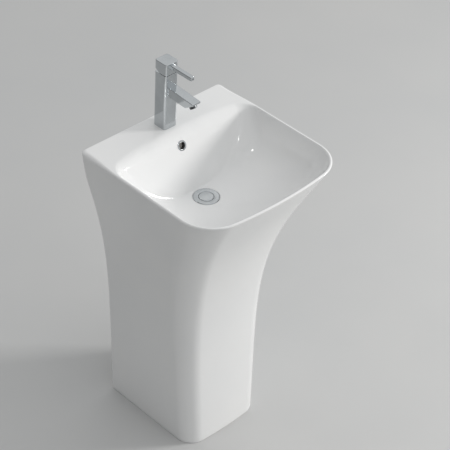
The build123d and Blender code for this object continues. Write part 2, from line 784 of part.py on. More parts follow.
# Handle block with its wedge of clearance at the lower rear, lever bar, screw and plug
handle_bottom = column_top + handle_gap
handle_top = handle_bottom + handle_height
handle_rear = tap_y + tap_width / 2
lever_z = handle_top - lever_below_top
grub_z = handle_top - grub_below_top
socket_width = spindle_bar + 2 * fit_gap
with BuildPart() as handle_block:
    with BuildSketch(Plane.XY.offset(handle_bottom)):
        with Locations((0, tap_y)):
            RectangleRounded(tap_width, tap_width, tap_edge)
    extrude(amount=handle_height)
    fillet(handle_block.edges().group_by(Axis.Z)[-1], handle_edge_top)
    with BuildSketch(Plane.YZ):
        with BuildLine():
            Polyline(
                (handle_rear - wedge_run, handle_bottom),
                (handle_rear + overcut, handle_bottom),
                (handle_rear + overcut, handle_bottom + wedge_rise * (1 + overcut / wedge_run)),
                close=True,
            )
        make_face()
    extrude(amount=tap_width, both=True, mode=Mode.SUBTRACT)
    with BuildSketch(Plane.XY.offset(handle_bottom)):
        with Locations((0, tap_y)):
            RectangleRounded(handle_pocket, handle_pocket, handle_pocket_edge)
    extrude(amount=pin_z + handle_pocket_above_pin - handle_bottom, mode=Mode.SUBTRACT)
    with BuildSketch(Plane.XY.offset(handle_bottom)):
        with Locations((0, tap_y)):
            Rectangle(socket_width, socket_width)
    extrude(amount=bar_top + fit_gap - handle_bottom, mode=Mode.SUBTRACT)
    with BuildSketch(Plane.XZ.offset(-tap_y)):
        with Locations((0, grub_z)):
            Circle(grub_diameter / 2 + fit_gap)
    extrude(amount=-tap_width, mode=Mode.SUBTRACT)
    with BuildSketch(Plane.XZ.offset(-handle_rear)):
        with Locations((0, grub_z)):
            Circle(screw_plug_diameter / 2 + fit_gap)
    extrude(amount=screw_plug_length, mode=Mode.SUBTRACT)
    with BuildSketch(Plane.XZ.offset(-column_front)):
        with Locations((0, lever_z)):
            Circle(lever_tenon / 2 + fit_gap)
    extrude(amount=-lever_tenon_length - fit_gap, mode=Mode.SUBTRACT)
handle_block.part.label = "handle_block"
export_step(handle_block.part, "parts/handle_block.step")

with BuildPart() as lever_bar:
    with BuildSketch(Plane.XZ.offset(-column_front)):
        with Locations((0, lever_z)):
            RectangleRounded(lever_width, lever_height, lever_edge)
    extrude(amount=lever_length)
    fillet(lever_bar.edges().group_by(Axis.Y)[0], lever_edge - fit_gap)
    with BuildSketch(Plane.XZ.offset(-column_front)):
        with Locations((0, lever_z)):
            Circle(lever_tenon / 2)
    extrude(amount=-lever_tenon_length)
lever_bar.part.label = "lever_bar"
export_step(lever_bar.part, "parts/lever_bar.step")

with BuildPart() as handle_grub_screw:
    with BuildSketch(Plane.XZ.offset(-tap_y - spindle_bar / 2)):
        with Locations((0, grub_z)):
            Circle(grub_diameter / 2)
    extrude(amount=-grub_length)
    with BuildSketch(Plane.XZ.offset(-tap_y - spindle_bar / 2 - grub_length)):
        with Locations((0, grub_z)):
            RegularPolygon(grub_socket / 2, 6, major_radius=False)
    extrude(amount=grub_socket_depth, mode=Mode.SUBTRACT)
handle_grub_screw.part.label = "handle_grub_screw"
export_step(handle_grub_screw.part, "parts/handle_grub_screw.step")

with BuildPart() as screw_plug:
    with BuildSketch(Plane.XZ.offset(-handle_rear)):
        with Locations((0, grub_z)):
            Circle(screw_plug_diameter / 2)
    extrude(amount=screw_plug_length)
screw_plug.part.label = "screw_plug"
export_step(screw_plug.part, "parts/screw_plug.step")

# Waste: flanged body with a bridge for the click cartridge, seals and backnut
seal_top = recess_floor + waste_seal_height
flange_top = seal_top + waste_flange_height
tail_bottom = recess_floor - waste_tail
tube_inner = waste_tube - 2 * waste_tube_wall
cap_bottom = flange_top - plug_cap_height
plug_seal_bottom = cap_bottom - plug_seal_height
seat_top = plug_seal_bottom - seat_gap
bridge_bottom = recess_floor - bridge_drop - bridge_height / 2
with BuildPart() as waste_body:
    turned(
        [
            (tube_inner / 2, tail_bottom),
            (waste_tube / 2, tail_bottom),
            (waste_tube / 2, seal_top),
            (waste_flange / 2, seal_top),
            (waste_flange / 2, flange_top - waste_flange_height / 2),
            (waste_flange / 2 - waste_flange_height / 2, flange_top),
            (plug_opening / 2 + waste_flange_height, flange_top - flange_dish / 2),
            (plug_opening / 2, flange_top - flange_dish),
            (plug_opening / 2, seat_top),
            (tube_inner / 2, seat_top - plug_seat_step),
        ],
        drain_y,
    )
    with BuildSketch(Plane.XY.offset(bridge_bottom)):
        with Locations((0, drain_y)):
            Rectangle(tube_inner + waste_tube_wall, bridge_width)
            Rectangle(bridge_width, tube_inner + waste_tube_wall)
            Circle(bridge_hub / 2)
            Circle(click_outer / 2 + fit_gap, mode=Mode.SUBTRACT)
    extrude(amount=bridge_height)
    with BuildSketch(Plane.XZ.offset(-drain_y)):
        with Locations((0, duct_foot_z)):
            SlotOverall(overflow_slot_height, overflow_slot_width, rotation=90)
    extrude(amount=waste_tube, both=True, mode=Mode.SUBTRACT)
waste_body.part.label = "waste_body"
export_step(waste_body.part, "parts/waste_body.step")

with BuildPart() as waste_top_seal:
    ring(waste_seal_outer, waste_tube + 2 * slide_gap, recess_floor, seal_top, drain_y)
waste_top_seal.part.label = "waste_top_seal"
export_step(waste_top_seal.part, "parts/waste_top_seal.step")

with BuildPart() as waste_bottom_washer:
    ring(backnut_outer, waste_tube + 2 * slide_gap, boss_bottom - bottom_washer_height, boss_bottom, drain_y)
waste_bottom_washer.part.label = "waste_bottom_washer"
export_step(waste_bottom_washer.part, "parts/waste_bottom_washer.step")

backnut_top = boss_bottom - bottom_washer_height
with BuildPart() as waste_backnut:
    with BuildSketch(Plane.XY.offset(backnut_top - backnut_height)):
        with Locations((0, drain_y)):
            RegularPolygon(backnut_outer / 2, backnut_sides)
            Circle(waste_tube / 2 + thread_gap, mode=Mode.SUBTRACT)
    extrude(amount=backnut_height)
waste_backnut.part.label = "waste_backnut"
export_step(waste_backnut.part, "parts/waste_backnut.step")

# Click plug: cap, seal and stem rise together on the spring
hub_bottom = cap_bottom - plug_hub_height
with BuildPart() as plug_cap:
    turned(
        [
            (0, hub_bottom),
            (plug_hub / 2, hub_bottom),
            (plug_hub / 2, cap_bottom),
            (plug_diameter / 2, cap_bottom),
            (plug_diameter / 2, flange_top - flange_dish),
            (plug_diameter / 2 - flange_dish, flange_top),
            (0, flange_top),
        ],
        drain_y,
    )
plug_cap.part.label = "plug_cap"
export_step(plug_cap.part, "parts/plug_cap.step")

with BuildPart() as plug_seal:
    ring(plug_seal_outer, plug_hub + 2 * fit_gap, plug_seal_bottom, cap_bottom, drain_y)
plug_seal.part.label = "plug_seal"
export_step(plug_seal.part, "parts/plug_seal.step")

with BuildPart() as plug_stem:
    with BuildSketch(Plane.XY.offset(hub_bottom - plug_stem_length)):
        with Locations((0, drain_y)):
            Circle(plug_stem_diameter / 2)
    extrude(amount=plug_stem_length)
plug_stem.part.label = "plug_stem"
export_step(plug_stem.part, "parts/plug_stem.step")

click_bottom = hub_bottom - plug_stem_length - click_wall - click_floor_gap
click_top = click_bottom + click_length
with BuildPart() as click_cartridge:
    click_bore = click_outer / 2 - click_wall
    turned(
        [
            (0, click_bottom),
            (click_outer / 2, click_bottom),
            (click_outer / 2, click_top),
            (click_bore, click_top),
            (click_bore, click_bottom + click_wall),
            (0, click_bottom + click_wall),
        ],
        drain_y,
    )
click_cartridge.part.label = "click_cartridge"
export_step(click_cartridge.part, "parts/click_cartridge.step")

spring_low = click_top + spring_seat_gap + spring_wire / 2
spring_height = hub_bottom - spring_seat_gap - spring_wire / 2 - spring_low
with BuildPart() as click_spring:
    with BuildLine():
        coil = Helix(spring_height / spring_turns, spring_height, spring_coil / 2, (0, drain_y, spring_low))
    with BuildSketch(Plane(origin=coil @ 0, z_dir=coil % 0)):
        Circle(spring_wire / 2)
    sweep(is_frenet=True)
click_spring.part.label = "click_spring"
export_step(click_spring.part, "parts/click_spring.step")

# Bottle trap, hung from the waste tail
washer_bottom = tail_bottom - trap_washer_height
dip_flange_bottom = washer_bottom - trap_flange_height
nut_low = dip_flange_bottom - trap_nut_lip
pipe_inner = pipe_outer - 2 * pipe_wall
union_outer = waste_tube - 2 * thread_gap
with BuildPart() as trap_inlet_washer:
    ring(union_outer, pipe_outer, washer_bottom, tail_bottom, drain_y)
trap_inlet_washer.part.label = "trap_inlet_washer"
export_step(trap_inlet_washer.part, "parts/trap_inlet_washer.step")

with BuildPart() as trap_inlet_nut:
    with BuildSketch(Plane.XY.offset(nut_low)):
        with Locations((0, drain_y)):
            RegularPolygon(trap_nut_outer / 2, trap_nut_sides)
    extrude(amount=trap_nut_height)
    bored(waste_tube + 2 * thread_gap, dip_flange_bottom, nut_low + trap_nut_height, 0, drain_y)
    bored(pipe_outer + 2 * slide_gap, nut_low, dip_flange_bottom, 0, drain_y)
trap_inlet_nut.part.label = "trap_inlet_nut"
export_step(trap_inlet_nut.part, "parts/trap_inlet_nut.step")

with BuildPart() as trap_dip_tube:
    ring(pipe_outer, pipe_inner, washer_bottom - dip_length, washer_bottom, drain_y)
    ring(union_outer, pipe_inner, dip_flange_bottom, washer_bottom, drain_y)
trap_dip_tube.part.label = "trap_dip_tube"
export_step(trap_dip_tube.part, "parts/trap_dip_tube.step")

trap_top = dip_flange_bottom - trap_top_drop
trap_bottom = trap_top - trap_height
trap_inner = trap_outer - 2 * trap_wall
outlet_z = trap_top - trap_outlet_drop
stub_end = drain_y + trap_outer / 2 + outlet_stub_length


def turned_level(points, mode=Mode.ADD):
    """Revolve a half outline of (y, radius) points about the level outlet axis."""
    with BuildSketch(Plane.YZ) as profile:
        with BuildLine():
            Polyline(*[(y, outlet_z + radius) for y, radius in points], close=True)
        make_face()
    revolve(profile.sketch, axis=Axis((0, 0, outlet_z), (0, 1, 0)), mode=mode)


def level_ring(outer, bore, start, stop):
    """Revolve a plain ring of the given diameters along the outlet axis."""
    turned_level([(start, bore / 2), (stop, bore / 2), (stop, outer / 2), (start, outer / 2)])


with BuildPart() as trap_body:
    turned(
        [
            (pipe_outer / 2 + fit_gap, trap_top - trap_wall),
            (pipe_outer / 2 + fit_gap, trap_top),
            (trap_outer / 2, trap_top),
            (trap_outer / 2, trap_bottom),
            (trap_inner / 2, trap_bottom),
            (trap_inner / 2, trap_top - trap_wall),
        ],
        drain_y,
    )
    stub_start = drain_y + trap_inner / 2
    level_ring(outlet_stub, pipe_outer + 2 * slide_gap, stub_start, stub_end)
    turned_level(
        [
            (stub_start - trap_wall, 0),
            (stub_end, 0),
            (stub_end, pipe_outer / 2 + slide_gap),
            (stub_start - trap_wall, pipe_outer / 2 + slide_gap),
        ],
        mode=Mode.SUBTRACT,
    )
trap_body.part.label = "trap_body"
export_step(trap_body.part, "parts/trap_body.step")

with BuildPart() as trap_cup_seal:
    ring(trap_outer, trap_inner, trap_bottom - trap_seal_height, trap_bottom, drain_y)
trap_cup_seal.part.label = "trap_cup_seal"
export_step(trap_cup_seal.part, "parts/trap_cup_seal.step")

cup_top = trap_bottom - trap_seal_height
cup_bottom = cup_top - trap_cup_height
with BuildPart() as trap_cup:
    spigot = trap_inner / 2 - thread_gap
    turned(
        [
            (0, cup_bottom),
            (trap_outer / 2 - trap_wall, cup_bottom),
            (trap_outer / 2, cup_bottom + trap_wall),
            (trap_outer / 2, cup_top),
            (spigot, cup_top),
            (spigot, trap_bottom + trap_cup_spigot),
            (spigot - trap_wall, trap_bottom + trap_cup_spigot),
            (spigot - trap_wall, cup_bottom + trap_wall),
            (0, cup_bottom + trap_wall),
        ],
        drain_y,
    )
trap_cup.part.label = "trap_cup"
export_step(trap_cup.part, "parts/trap_cup.step")

# Outlet to the wall
nut_end = stub_end + trap_washer_height + outlet_nut_lip
with BuildPart() as trap_outlet_washer:
    level_ring(outlet_stub, pipe_outer + 2 * fit_gap, stub_end, stub_end + trap_washer_height)
trap_outlet_washer.part.label = "trap_outlet_washer"
export_step(trap_outlet_washer.part, "parts/trap_outlet_washer.step")

with BuildPart() as trap_outlet_nut:
    turned_level(
        [
            (nut_end - outlet_nut_length, outlet_stub / 2 + thread_gap),
            (nut_end - outlet_nut_lip, outlet_stub / 2 + thread_gap),
            (nut_end - outlet_nut_lip, pipe_outer / 2 + slide_gap),
            (nut_end, pipe_outer / 2 + slide_gap),
            (nut_end, outlet_nut_outer / 2),
            (nut_end - outlet_nut_length, outlet_nut_outer / 2),
        ]
    )
trap_outlet_nut.part.label = "trap_outlet_nut"
export_step(trap_outlet_nut.part, "parts/trap_outlet_nut.step")

with BuildPart() as outlet_pipe:
    level_ring(pipe_outer, pipe_inner, stub_end - outlet_stub_length / 2, wall_y)
outlet_pipe.part.label = "outlet_pipe"
export_step(outlet_pipe.part, "parts/outlet_pipe.step")

with BuildPart() as wall_flange:
    turned_level(
        [
            (wall_y - wall_flange_depth, pipe_outer / 2 + slide_gap),
            (wall_y, pipe_outer / 2 + slide_gap),
            (wall_y, wall_flange_outer / 2),
            (wall_y - wall_flange_edge, wall_flange_outer / 2),
            (wall_y - wall_flange_depth, pipe_outer / 2 + wall_flange_depth),
        ]
    )
wall_flange.part.label = "wall_flange"
export_step(wall_flange.part, "parts/wall_flange.step")
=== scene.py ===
"""Pedestal wash basin in its photographed view: glazed ceramic, chrome tap and waste, soft studio.

Metres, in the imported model's frame: +Z is up, the floor is z = 0, the wall is at +Y and the user at -Y.
"""

import json
import logging
from dataclasses import dataclass
from enum import Enum
from math import cos, pi, radians, sin
from typing import Any

import bpy
import numpy as np
from mathutils import Matrix, Vector

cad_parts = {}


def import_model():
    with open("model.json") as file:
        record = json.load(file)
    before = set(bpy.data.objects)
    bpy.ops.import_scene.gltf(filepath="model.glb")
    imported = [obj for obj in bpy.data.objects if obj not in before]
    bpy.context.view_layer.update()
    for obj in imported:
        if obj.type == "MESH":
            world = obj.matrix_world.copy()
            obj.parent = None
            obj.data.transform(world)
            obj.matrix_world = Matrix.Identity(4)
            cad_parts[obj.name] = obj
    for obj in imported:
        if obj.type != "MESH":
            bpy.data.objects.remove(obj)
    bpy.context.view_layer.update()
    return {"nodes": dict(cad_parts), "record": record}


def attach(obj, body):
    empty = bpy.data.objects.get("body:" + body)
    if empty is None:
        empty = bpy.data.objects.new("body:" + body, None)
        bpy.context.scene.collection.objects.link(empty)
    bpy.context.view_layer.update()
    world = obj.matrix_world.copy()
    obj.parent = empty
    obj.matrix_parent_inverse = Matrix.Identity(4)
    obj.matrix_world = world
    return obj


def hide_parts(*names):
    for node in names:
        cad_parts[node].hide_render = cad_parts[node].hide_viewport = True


LOG = logging.getLogger("wash_basin")
Array = np.ndarray
Colour = tuple[float, float, float]
SHARP_ANGLE = radians(42.0)
# Keeps a division from being by nothing
TINY = 1e-6
# Share of the rear's half width at which its middle starts, in an outline without a rail
FREE_RAIL = 0.55
GLAZE_IOR, PLAIN_IOR = 1.52, 1.46
PLAIN_SPECULAR = 0.5
VECTOR, NUMBER, COLOUR = "NodeSocketVector", "NodeSocketFloat", "NodeSocketColor"
# Sockets of a colour Mix node, where several share a name
MIX_SHARE, MIX_DARK, MIX_LIGHT, MIX_RESULT = 0, 6, 7, 2


class Family(Enum):
    """Kinds of finish, by how their surface takes light."""

    GLAZE = "glaze"
    METAL = "metal"
    MATTE = "matte"
    DULL = "dull"


class Stretch(Enum):
    """Parts of an outline's right half, from the middle of the front round to the middle of the rear."""

    FRONT = 0
    FRONT_CORNER = 1
    SIDE = 2
    REAR_CORNER = 3
    REAR_RAIL = 4
    REAR_MIDDLE = 5


class NodeSheet:
    """Adds and joins the nodes of one tree."""

    def __init__(self, tree: bpy.types.NodeTree) -> None:
        """Keep the tree and empty it."""
        self.tree = tree
        tree.nodes.clear()

    def add(self, kind: str, **settings: Any) -> bpy.types.Node:
        """Add a node.

        Args:
            kind: Blender's node type.
            settings: values of the node's own properties.

        Returns:
            The new node.
        """
        node = self.tree.nodes.new(kind)
        for name, value in settings.items():
            setattr(node, name, value)
        return node

    def fix(self, node: bpy.types.Node, **values: Any) -> bpy.types.Node:
        """Set a node's input sockets.

        Args:
            node: the node.
            values: value by socket name, with underscores for spaces.

        Returns:
            The same node.
        """
        for name, value in values.items():
            node.inputs[name.replace("_", " ")].default_value = value
        return node

    def join(
        self, source: bpy.types.Node, leaving: str | int, target: bpy.types.Node, entering: str | int
    ) -> None:
        """Link one node's output socket to another's input socket."""
        self.tree.links.new(source.outputs[leaving], target.inputs[entering])


class SurfaceEffects:
    """Shader node groups that several finishes share: mottled colour, handling marks and ripple."""

    def __init__(self) -> None:
        """Build each group once."""
        self.mottle = self._mottle()
        self.marks = self._marks()
        self.ripple = self._ripple()

    @staticmethod
    def _group(name: str, inputs: dict[str, str], outputs: dict[str, str]) -> bpy.types.NodeTree:
        """Make an empty group.

        Args:
            name: the group's name.
            inputs: socket type by input name.
            outputs: socket type by output name.

        Returns:
            The group, with its sockets and no nodes.
        """
        group = bpy.data.node_groups.new(name, "ShaderNodeTree")
        for label, kind in inputs.items():
            group.interface.new_socket(label, in_out="INPUT", socket_type=kind)
        for label, kind in outputs.items():
            group.interface.new_socket(label, in_out="OUTPUT", socket_type=kind)
        return group

    def _mottle(self) -> bpy.types.NodeTree:
        """Mix two near colours by soft noise, as a fired or plated surface drifts in tone.

        Returns:
            The group.
        """
        inputs = {"Vector": VECTOR, "Scale": NUMBER, "Dark": COLOUR, "Light": COLOUR}
        group = self._group("soft_mottle", inputs, {"Color": COLOUR})
        sheet = NodeSheet(group)
        given = sheet.add("NodeGroupInput")
        result = sheet.add("NodeGroupOutput")
        noise = sheet.fix(sheet.add("ShaderNodeTexNoise"), Detail=3.0, Roughness=0.55)
        level = sheet.fix(sheet.add("ShaderNodeMapRange"), From_Min=0.32, From_Max=0.68)
        mix = sheet.add("ShaderNodeMix", data_type="RGBA")
        sheet.join(given, "Vector", noise, "Vector")
        sheet.join(given, "Scale", noise, "Scale")
        sheet.join(noise, "Fac", level, "Value")
        sheet.join(level, "Result", mix, MIX_SHARE)
        sheet.join(given, "Dark", mix, MIX_DARK)
        sheet.join(given, "Light", mix, MIX_LIGHT)
        sheet.join(mix, MIX_RESULT, result, "Color")
        return group

    def _marks(self) -> bpy.types.NodeTree:
        """Vary roughness between two values: broad wiping marks crossed by fine long streaks.

        Returns:
            The group.
        """
        inputs = {"Vector": VECTOR, "Scale": NUMBER, "Smooth": NUMBER, "Worn": NUMBER}
        group = self._group("handling_marks", inputs, {"Roughness": NUMBER})
        sheet = NodeSheet(group)
        given = sheet.add("NodeGroupInput")
        result = sheet.add("NodeGroupOutput")
        broad = sheet.fix(sheet.add("ShaderNodeTexNoise"), Detail=4.0, Roughness=0.6)
        turned = sheet.fix(
            sheet.add("ShaderNodeMapping"), Rotation=(0.4, 0.3, 0.9), Scale=(9.0, 9.0, 0.6)
        )
        streak = sheet.fix(sheet.add("ShaderNodeTexNoise"), Detail=2.0)
        both = sheet.add("ShaderNodeMath", operation="MULTIPLY")
        level = sheet.fix(sheet.add("ShaderNodeMapRange"), From_Min=0.12, From_Max=0.42)
        sheet.join(given, "Vector", broad, "Vector")
        sheet.join(given, "Vector", turned, "Vector")
        sheet.join(turned, "Vector", streak, "Vector")
        sheet.join(given, "Scale", broad, "Scale")
        sheet.join(given, "Scale", streak, "Scale")
        sheet.join(broad, "Fac", both, 0)
        sheet.join(streak, "Fac", both, 1)
        sheet.join(both, "Value", level, "Value")
        sheet.join(given, "Smooth", level, "To Min")
        sheet.join(given, "Worn", level, "To Max")
        sheet.join(level, "Result", result, "Roughness")
        return group

    def _ripple(self) -> bpy.types.NodeTree:
        """Make a small rolling height, as fired glaze, plating or moulding leaves on a surface.

        Returns:
            The group.
        """
        group = self._group("surface_ripple", {"Vector": VECTOR, "Scale": NUMBER}, {"Height": NUMBER})
        sheet = NodeSheet(group)
        given = sheet.add("NodeGroupInput")
        result = sheet.add("NodeGroupOutput")
        noise = sheet.fix(sheet.add("ShaderNodeTexNoise"), Detail=2.0, Roughness=0.45)
        sheet.join(given, "Vector", noise, "Vector")
        sheet.join(given, "Scale", noise, "Scale")
        sheet.join(noise, "Fac", result, "Height")
        return group


@dataclass(frozen=True)
class Finish:
    """One surface finish: two near colours, a roughness range and a ripple."""

    name: str
    family: Family
    dark: Colour
    light: Colour
    mottle_scale: float
    smooth: float
    worn: float
    marks_scale: float
    ripple_scale: float
    ripple_depth: float

    def material(self, effects: SurfaceEffects) -> bpy.types.Material:
        """Make the finish's material.

        Args:
            effects: the shared node groups.

        Returns:
            A node material that reads Object coordinates.
        """
        made = bpy.data.materials.new(self.name)
        made.use_nodes = True
        sheet = NodeSheet(made.node_tree)
        place = sheet.add("ShaderNodeTexCoord")
        shader = sheet.add("ShaderNodeBsdfPrincipled")
        output = sheet.add("ShaderNodeOutputMaterial")
        mottle = sheet.add("ShaderNodeGroup", node_tree=effects.mottle)
        marks = sheet.add("ShaderNodeGroup", node_tree=effects.marks)
        ripple = sheet.add("ShaderNodeGroup", node_tree=effects.ripple)
        sheet.fix(mottle, Scale=self.mottle_scale, Dark=(*self.dark, 1.0), Light=(*self.light, 1.0))
        sheet.fix(marks, Scale=self.marks_scale, Smooth=self.smooth, Worn=self.worn)
        sheet.fix(ripple, Scale=self.ripple_scale)
        bump = sheet.fix(sheet.add("ShaderNodeBump"), Strength=1.0, Distance=self.ripple_depth)
        for group in (mottle, marks, ripple):
            sheet.join(place, "Object", group, "Vector")
        shader.inputs["Metallic"].default_value = 1.0 if self.family is Family.METAL else 0.0
        shader.inputs["IOR"].default_value = GLAZE_IOR if self.family is Family.GLAZE else PLAIN_IOR
        specular = 0.0 if self.family is Family.DULL else PLAIN_SPECULAR
        shader.inputs["Specular IOR Level"].default_value = specular
        sheet.join(mottle, "Color", shader, "Base Color")
        sheet.join(marks, "Roughness", shader, "Roughness")
        sheet.join(ripple, "Height", bump, "Height")
        sheet.join(bump, "Normal", shader, "Normal")
        sheet.join(shader, "BSDF", output, "Surface")
        return made


GLAZE = Finish(
    "white_glaze", Family.GLAZE, dark=(0.845, 0.85, 0.85), light=(0.875, 0.875, 0.87),
    mottle_scale=3.5, smooth=0.07, worn=0.12,
    marks_scale=6.0, ripple_scale=42.0, ripple_depth=0.00008,
)
BISQUE = Finish(
    "bare_fired_clay", Family.MATTE, dark=(0.66, 0.64, 0.6), light=(0.74, 0.72, 0.68),
    mottle_scale=14.0, smooth=0.6, worn=0.8,
    marks_scale=30.0, ripple_scale=420.0, ripple_depth=0.00025,
)
# Painted shade: the overflow throat's ceramic is coloured near-black to stand for the shade deep inside the
# hole
THROAT_PAINTED_SHADE = Finish(
    "overflow_painted_shade", Family.MATTE, dark=(0.03, 0.03, 0.032), light=(0.06, 0.06, 0.06),
    mottle_scale=40.0, smooth=0.4, worn=0.6,
    marks_scale=60.0, ripple_scale=400.0, ripple_depth=0.0002,
)
SLOT_FINISHES: dict[str, Finish] = {
    "glaze": GLAZE,
    "chrome": Finish(
        "polished_chrome", Family.METAL, dark=(0.53, 0.555, 0.57), light=(0.59, 0.615, 0.63),
        mottle_scale=24.0, smooth=0.05, worn=0.11,
        marks_scale=35.0, ripple_scale=300.0, ripple_depth=0.000006,
    ),
    "chrome_pipe": Finish(
        "pipe_chrome", Family.METAL, dark=(0.52, 0.53, 0.54), light=(0.6, 0.61, 0.62),
        mottle_scale=18.0, smooth=0.1, worn=0.22,
        marks_scale=28.0, ripple_scale=240.0, ripple_depth=0.00001,
    ),
    "rubber": Finish(
        "black_rubber", Family.MATTE, dark=(0.022, 0.022, 0.023), light=(0.04, 0.04, 0.041),
        mottle_scale=60.0, smooth=0.5, worn=0.72,
        marks_scale=80.0, ripple_scale=900.0, ripple_depth=0.00008,
    ),
    "brass": Finish(
        "turned_brass", Family.METAL, dark=(0.5, 0.34, 0.13), light=(0.66, 0.49, 0.22),
        mottle_scale=45.0, smooth=0.2, worn=0.38,
        marks_scale=90.0, ripple_scale=600.0, ripple_depth=0.00002,
    ),
    "steel": Finish(
        "zinc_steel", Family.METAL, dark=(0.4, 0.41, 0.42), light=(0.52, 0.53, 0.54),
        mottle_scale=50.0, smooth=0.25, worn=0.42,
        marks_scale=90.0, ripple_scale=600.0, ripple_depth=0.00002,
    ),
    "plastic": Finish(
        "white_acetal", Family.MATTE, dark=(0.62, 0.62, 0.61), light=(0.7, 0.7, 0.69),
        mottle_scale=70.0, smooth=0.3, worn=0.45,
        marks_scale=90.0, ripple_scale=800.0, ripple_depth=0.00004,
    ),
    "disc_ceramic": Finish(
        "ground_ceramic", Family.GLAZE, dark=(0.78, 0.77, 0.74), light=(0.84, 0.83, 0.8),
        mottle_scale=80.0, smooth=0.15, worn=0.25,
        marks_scale=90.0, ripple_scale=900.0, ripple_depth=0.00001,
    ),
    "plug_grey": Finish(
        "grey_acetal", Family.MATTE, dark=(0.2, 0.2, 0.21), light=(0.27, 0.27, 0.28),
        mottle_scale=80.0, smooth=0.32, worn=0.45,
        marks_scale=90.0, ripple_scale=900.0, ripple_depth=0.00004,
    ),
}
# Painted shade: the aerator's plastic insert is coloured near-black to stand for the shade in the outlet's
# mouth
INSERT_PAINTED_SHADE = Finish(
    "acetal_painted_shade", Family.MATTE, dark=(0.03, 0.03, 0.032), light=(0.055, 0.055, 0.057),
    mottle_scale=80.0, smooth=0.35, worn=0.5,
    marks_scale=90.0, ripple_scale=900.0, ripple_depth=0.00004,
)
# Painted shade and painted dark reflection: the aerator's chrome housing is darkened to a dim grey
HOUSING_PAINTED_SHADE = Finish(
    "chrome_painted_shade", Family.METAL, dark=(0.10, 0.105, 0.11), light=(0.14, 0.145, 0.15),
    mottle_scale=40.0, smooth=0.3, worn=0.42,
    marks_scale=60.0, ripple_scale=400.0, ripple_depth=0.00001,
)
# Nodes coloured with painted shade in place of their slot's finish
NODE_FINISHES: dict[str, Finish] = {"aerator_insert": INSERT_PAINTED_SHADE, "aerator_housing": HOUSING_PAINTED_SHADE}
FLOOR_FINISH = Finish(
    "pale_floor", Family.DULL, dark=(0.56, 0.565, 0.565), light=(0.59, 0.59, 0.585),
    mottle_scale=1.2, smooth=0.6, worn=0.75,
    marks_scale=3.0, ripple_scale=60.0, ripple_depth=0.0001,
)


def smooth_step(low: float, high: float, value: Array) -> Array:
    """Rise from 0 to 1 between low and high along 3t^2 - 2t^3."""
    t = np.clip((value - low) / (high - low), 0.0, 1.0)
    return t * t * (3.0 - 2.0 * t)


def sheet_mesh(name: str, points: Array, quads: Array, slots: Array | None = None) -> bpy.types.Object:
    """Put points and four-sided faces into a smooth mesh object, leaving out points that no face uses.

    Args:
        name: the object's name.
        points: places, (n, 3).
        quads: point numbers of each face, (m, 4).
        slots: material slot of each face, or None for the first.

    Returns:
        The linked object at the origin.
    """
    used, places = np.unique(quads, return_inverse=True)
    corners = places.reshape(-1).astype(np.int32)
    mesh = bpy.data.meshes.new(name)
    mesh.vertices.add(len(used))
    mesh.vertices.foreach_set("co", points[used].astype(np.float32).ravel())
    mesh.loops.add(len(corners))
    mesh.loops.foreach_set("vertex_index", corners)
    mesh.polygons.add(len(quads))
    mesh.polygons.foreach_set("loop_start", np.arange(0, len(corners), quads.shape[1], dtype=np.int32))
    mesh.polygons.foreach_set("use_smooth", np.ones(len(quads), dtype=bool))
    if slots is not None:
        mesh.polygons.foreach_set("material_index", slots.astype(np.int32))
    mesh.update(calc_edges=True)
    mesh.validate()
    mesh.set_sharp_from_angle(angle=SHARP_ANGLE)
    made = bpy.data.objects.new(name, mesh)
    bpy.context.scene.collection.objects.link(made)
    return made


def grid_quads(numbers: Array, wrap_rows: bool, wrap_columns: bool) -> Array:
    """Face a grid of point numbers, with each normal along the column direction cross the row direction.

    Args:
        numbers: point numbers, (rows, columns).
        wrap_rows: whether the last row joins the first.
        wrap_columns: whether the last column joins the first.

    Returns:
        Point numbers, (rows, columns, 4), less one row or column where it doesn't wrap.
    """
    right = np.roll(numbers, -1, axis=1)
    above = np.roll(numbers, -1, axis=0)
    corner = np.roll(right, -1, axis=0)
    quads = np.stack([numbers, right, corner, above], axis=-1)
    rows = len(numbers) if wrap_rows else len(numbers) - 1
    columns = numbers.shape[1] if wrap_columns else numbers.shape[1] - 1
    return quads[:rows, :columns]


def tube_faces(rings: Array) -> tuple[Array, Array]:
    """Points and faces of an open tube that is given as rings of points, (rings, sides, 3)."""
    numbers = np.arange(rings.shape[0] * rings.shape[1]).reshape(rings.shape[:2])
    return rings.reshape(-1, 3), grid_quads(numbers, False, True).reshape(-1, 4)


def between(first: Array, last: Array, count: int) -> Array:
    """Rows of points at even shares of the way from one row to another, without those two rows."""
    share = np.linspace(0.0, 1.0, count)[1:-1, None, None]
    return first + (last - first) * share


@dataclass(frozen=True)
class Columns:
    """Places of the grid's columns round the right half of an outline."""

    stretch: Array
    share: Array

    @classmethod
    def spread(cls, counts: dict[Stretch, int]) -> "Columns":
        """Share columns evenly over each stretch.

        Args:
            counts: columns in each stretch, in order.

        Returns:
            The columns, with the last one in the middle of the rear.
        """
        last = list(counts)[-1]
        shares = [np.arange(n + (part is last)) / n for part, n in counts.items()]
        names = [np.full(len(s), part.value) for part, s in zip(counts, shares)]
        return cls(np.concatenate(names), np.concatenate(shares))

    def within(self, part: Stretch) -> Array:
        """Tell which columns lie in a stretch."""
        return self.stretch == part.value

    def first(self, part: Stretch) -> int:
        """Give the number of a stretch's first column."""
        return int(np.flatnonzero(self.within(part))[0])


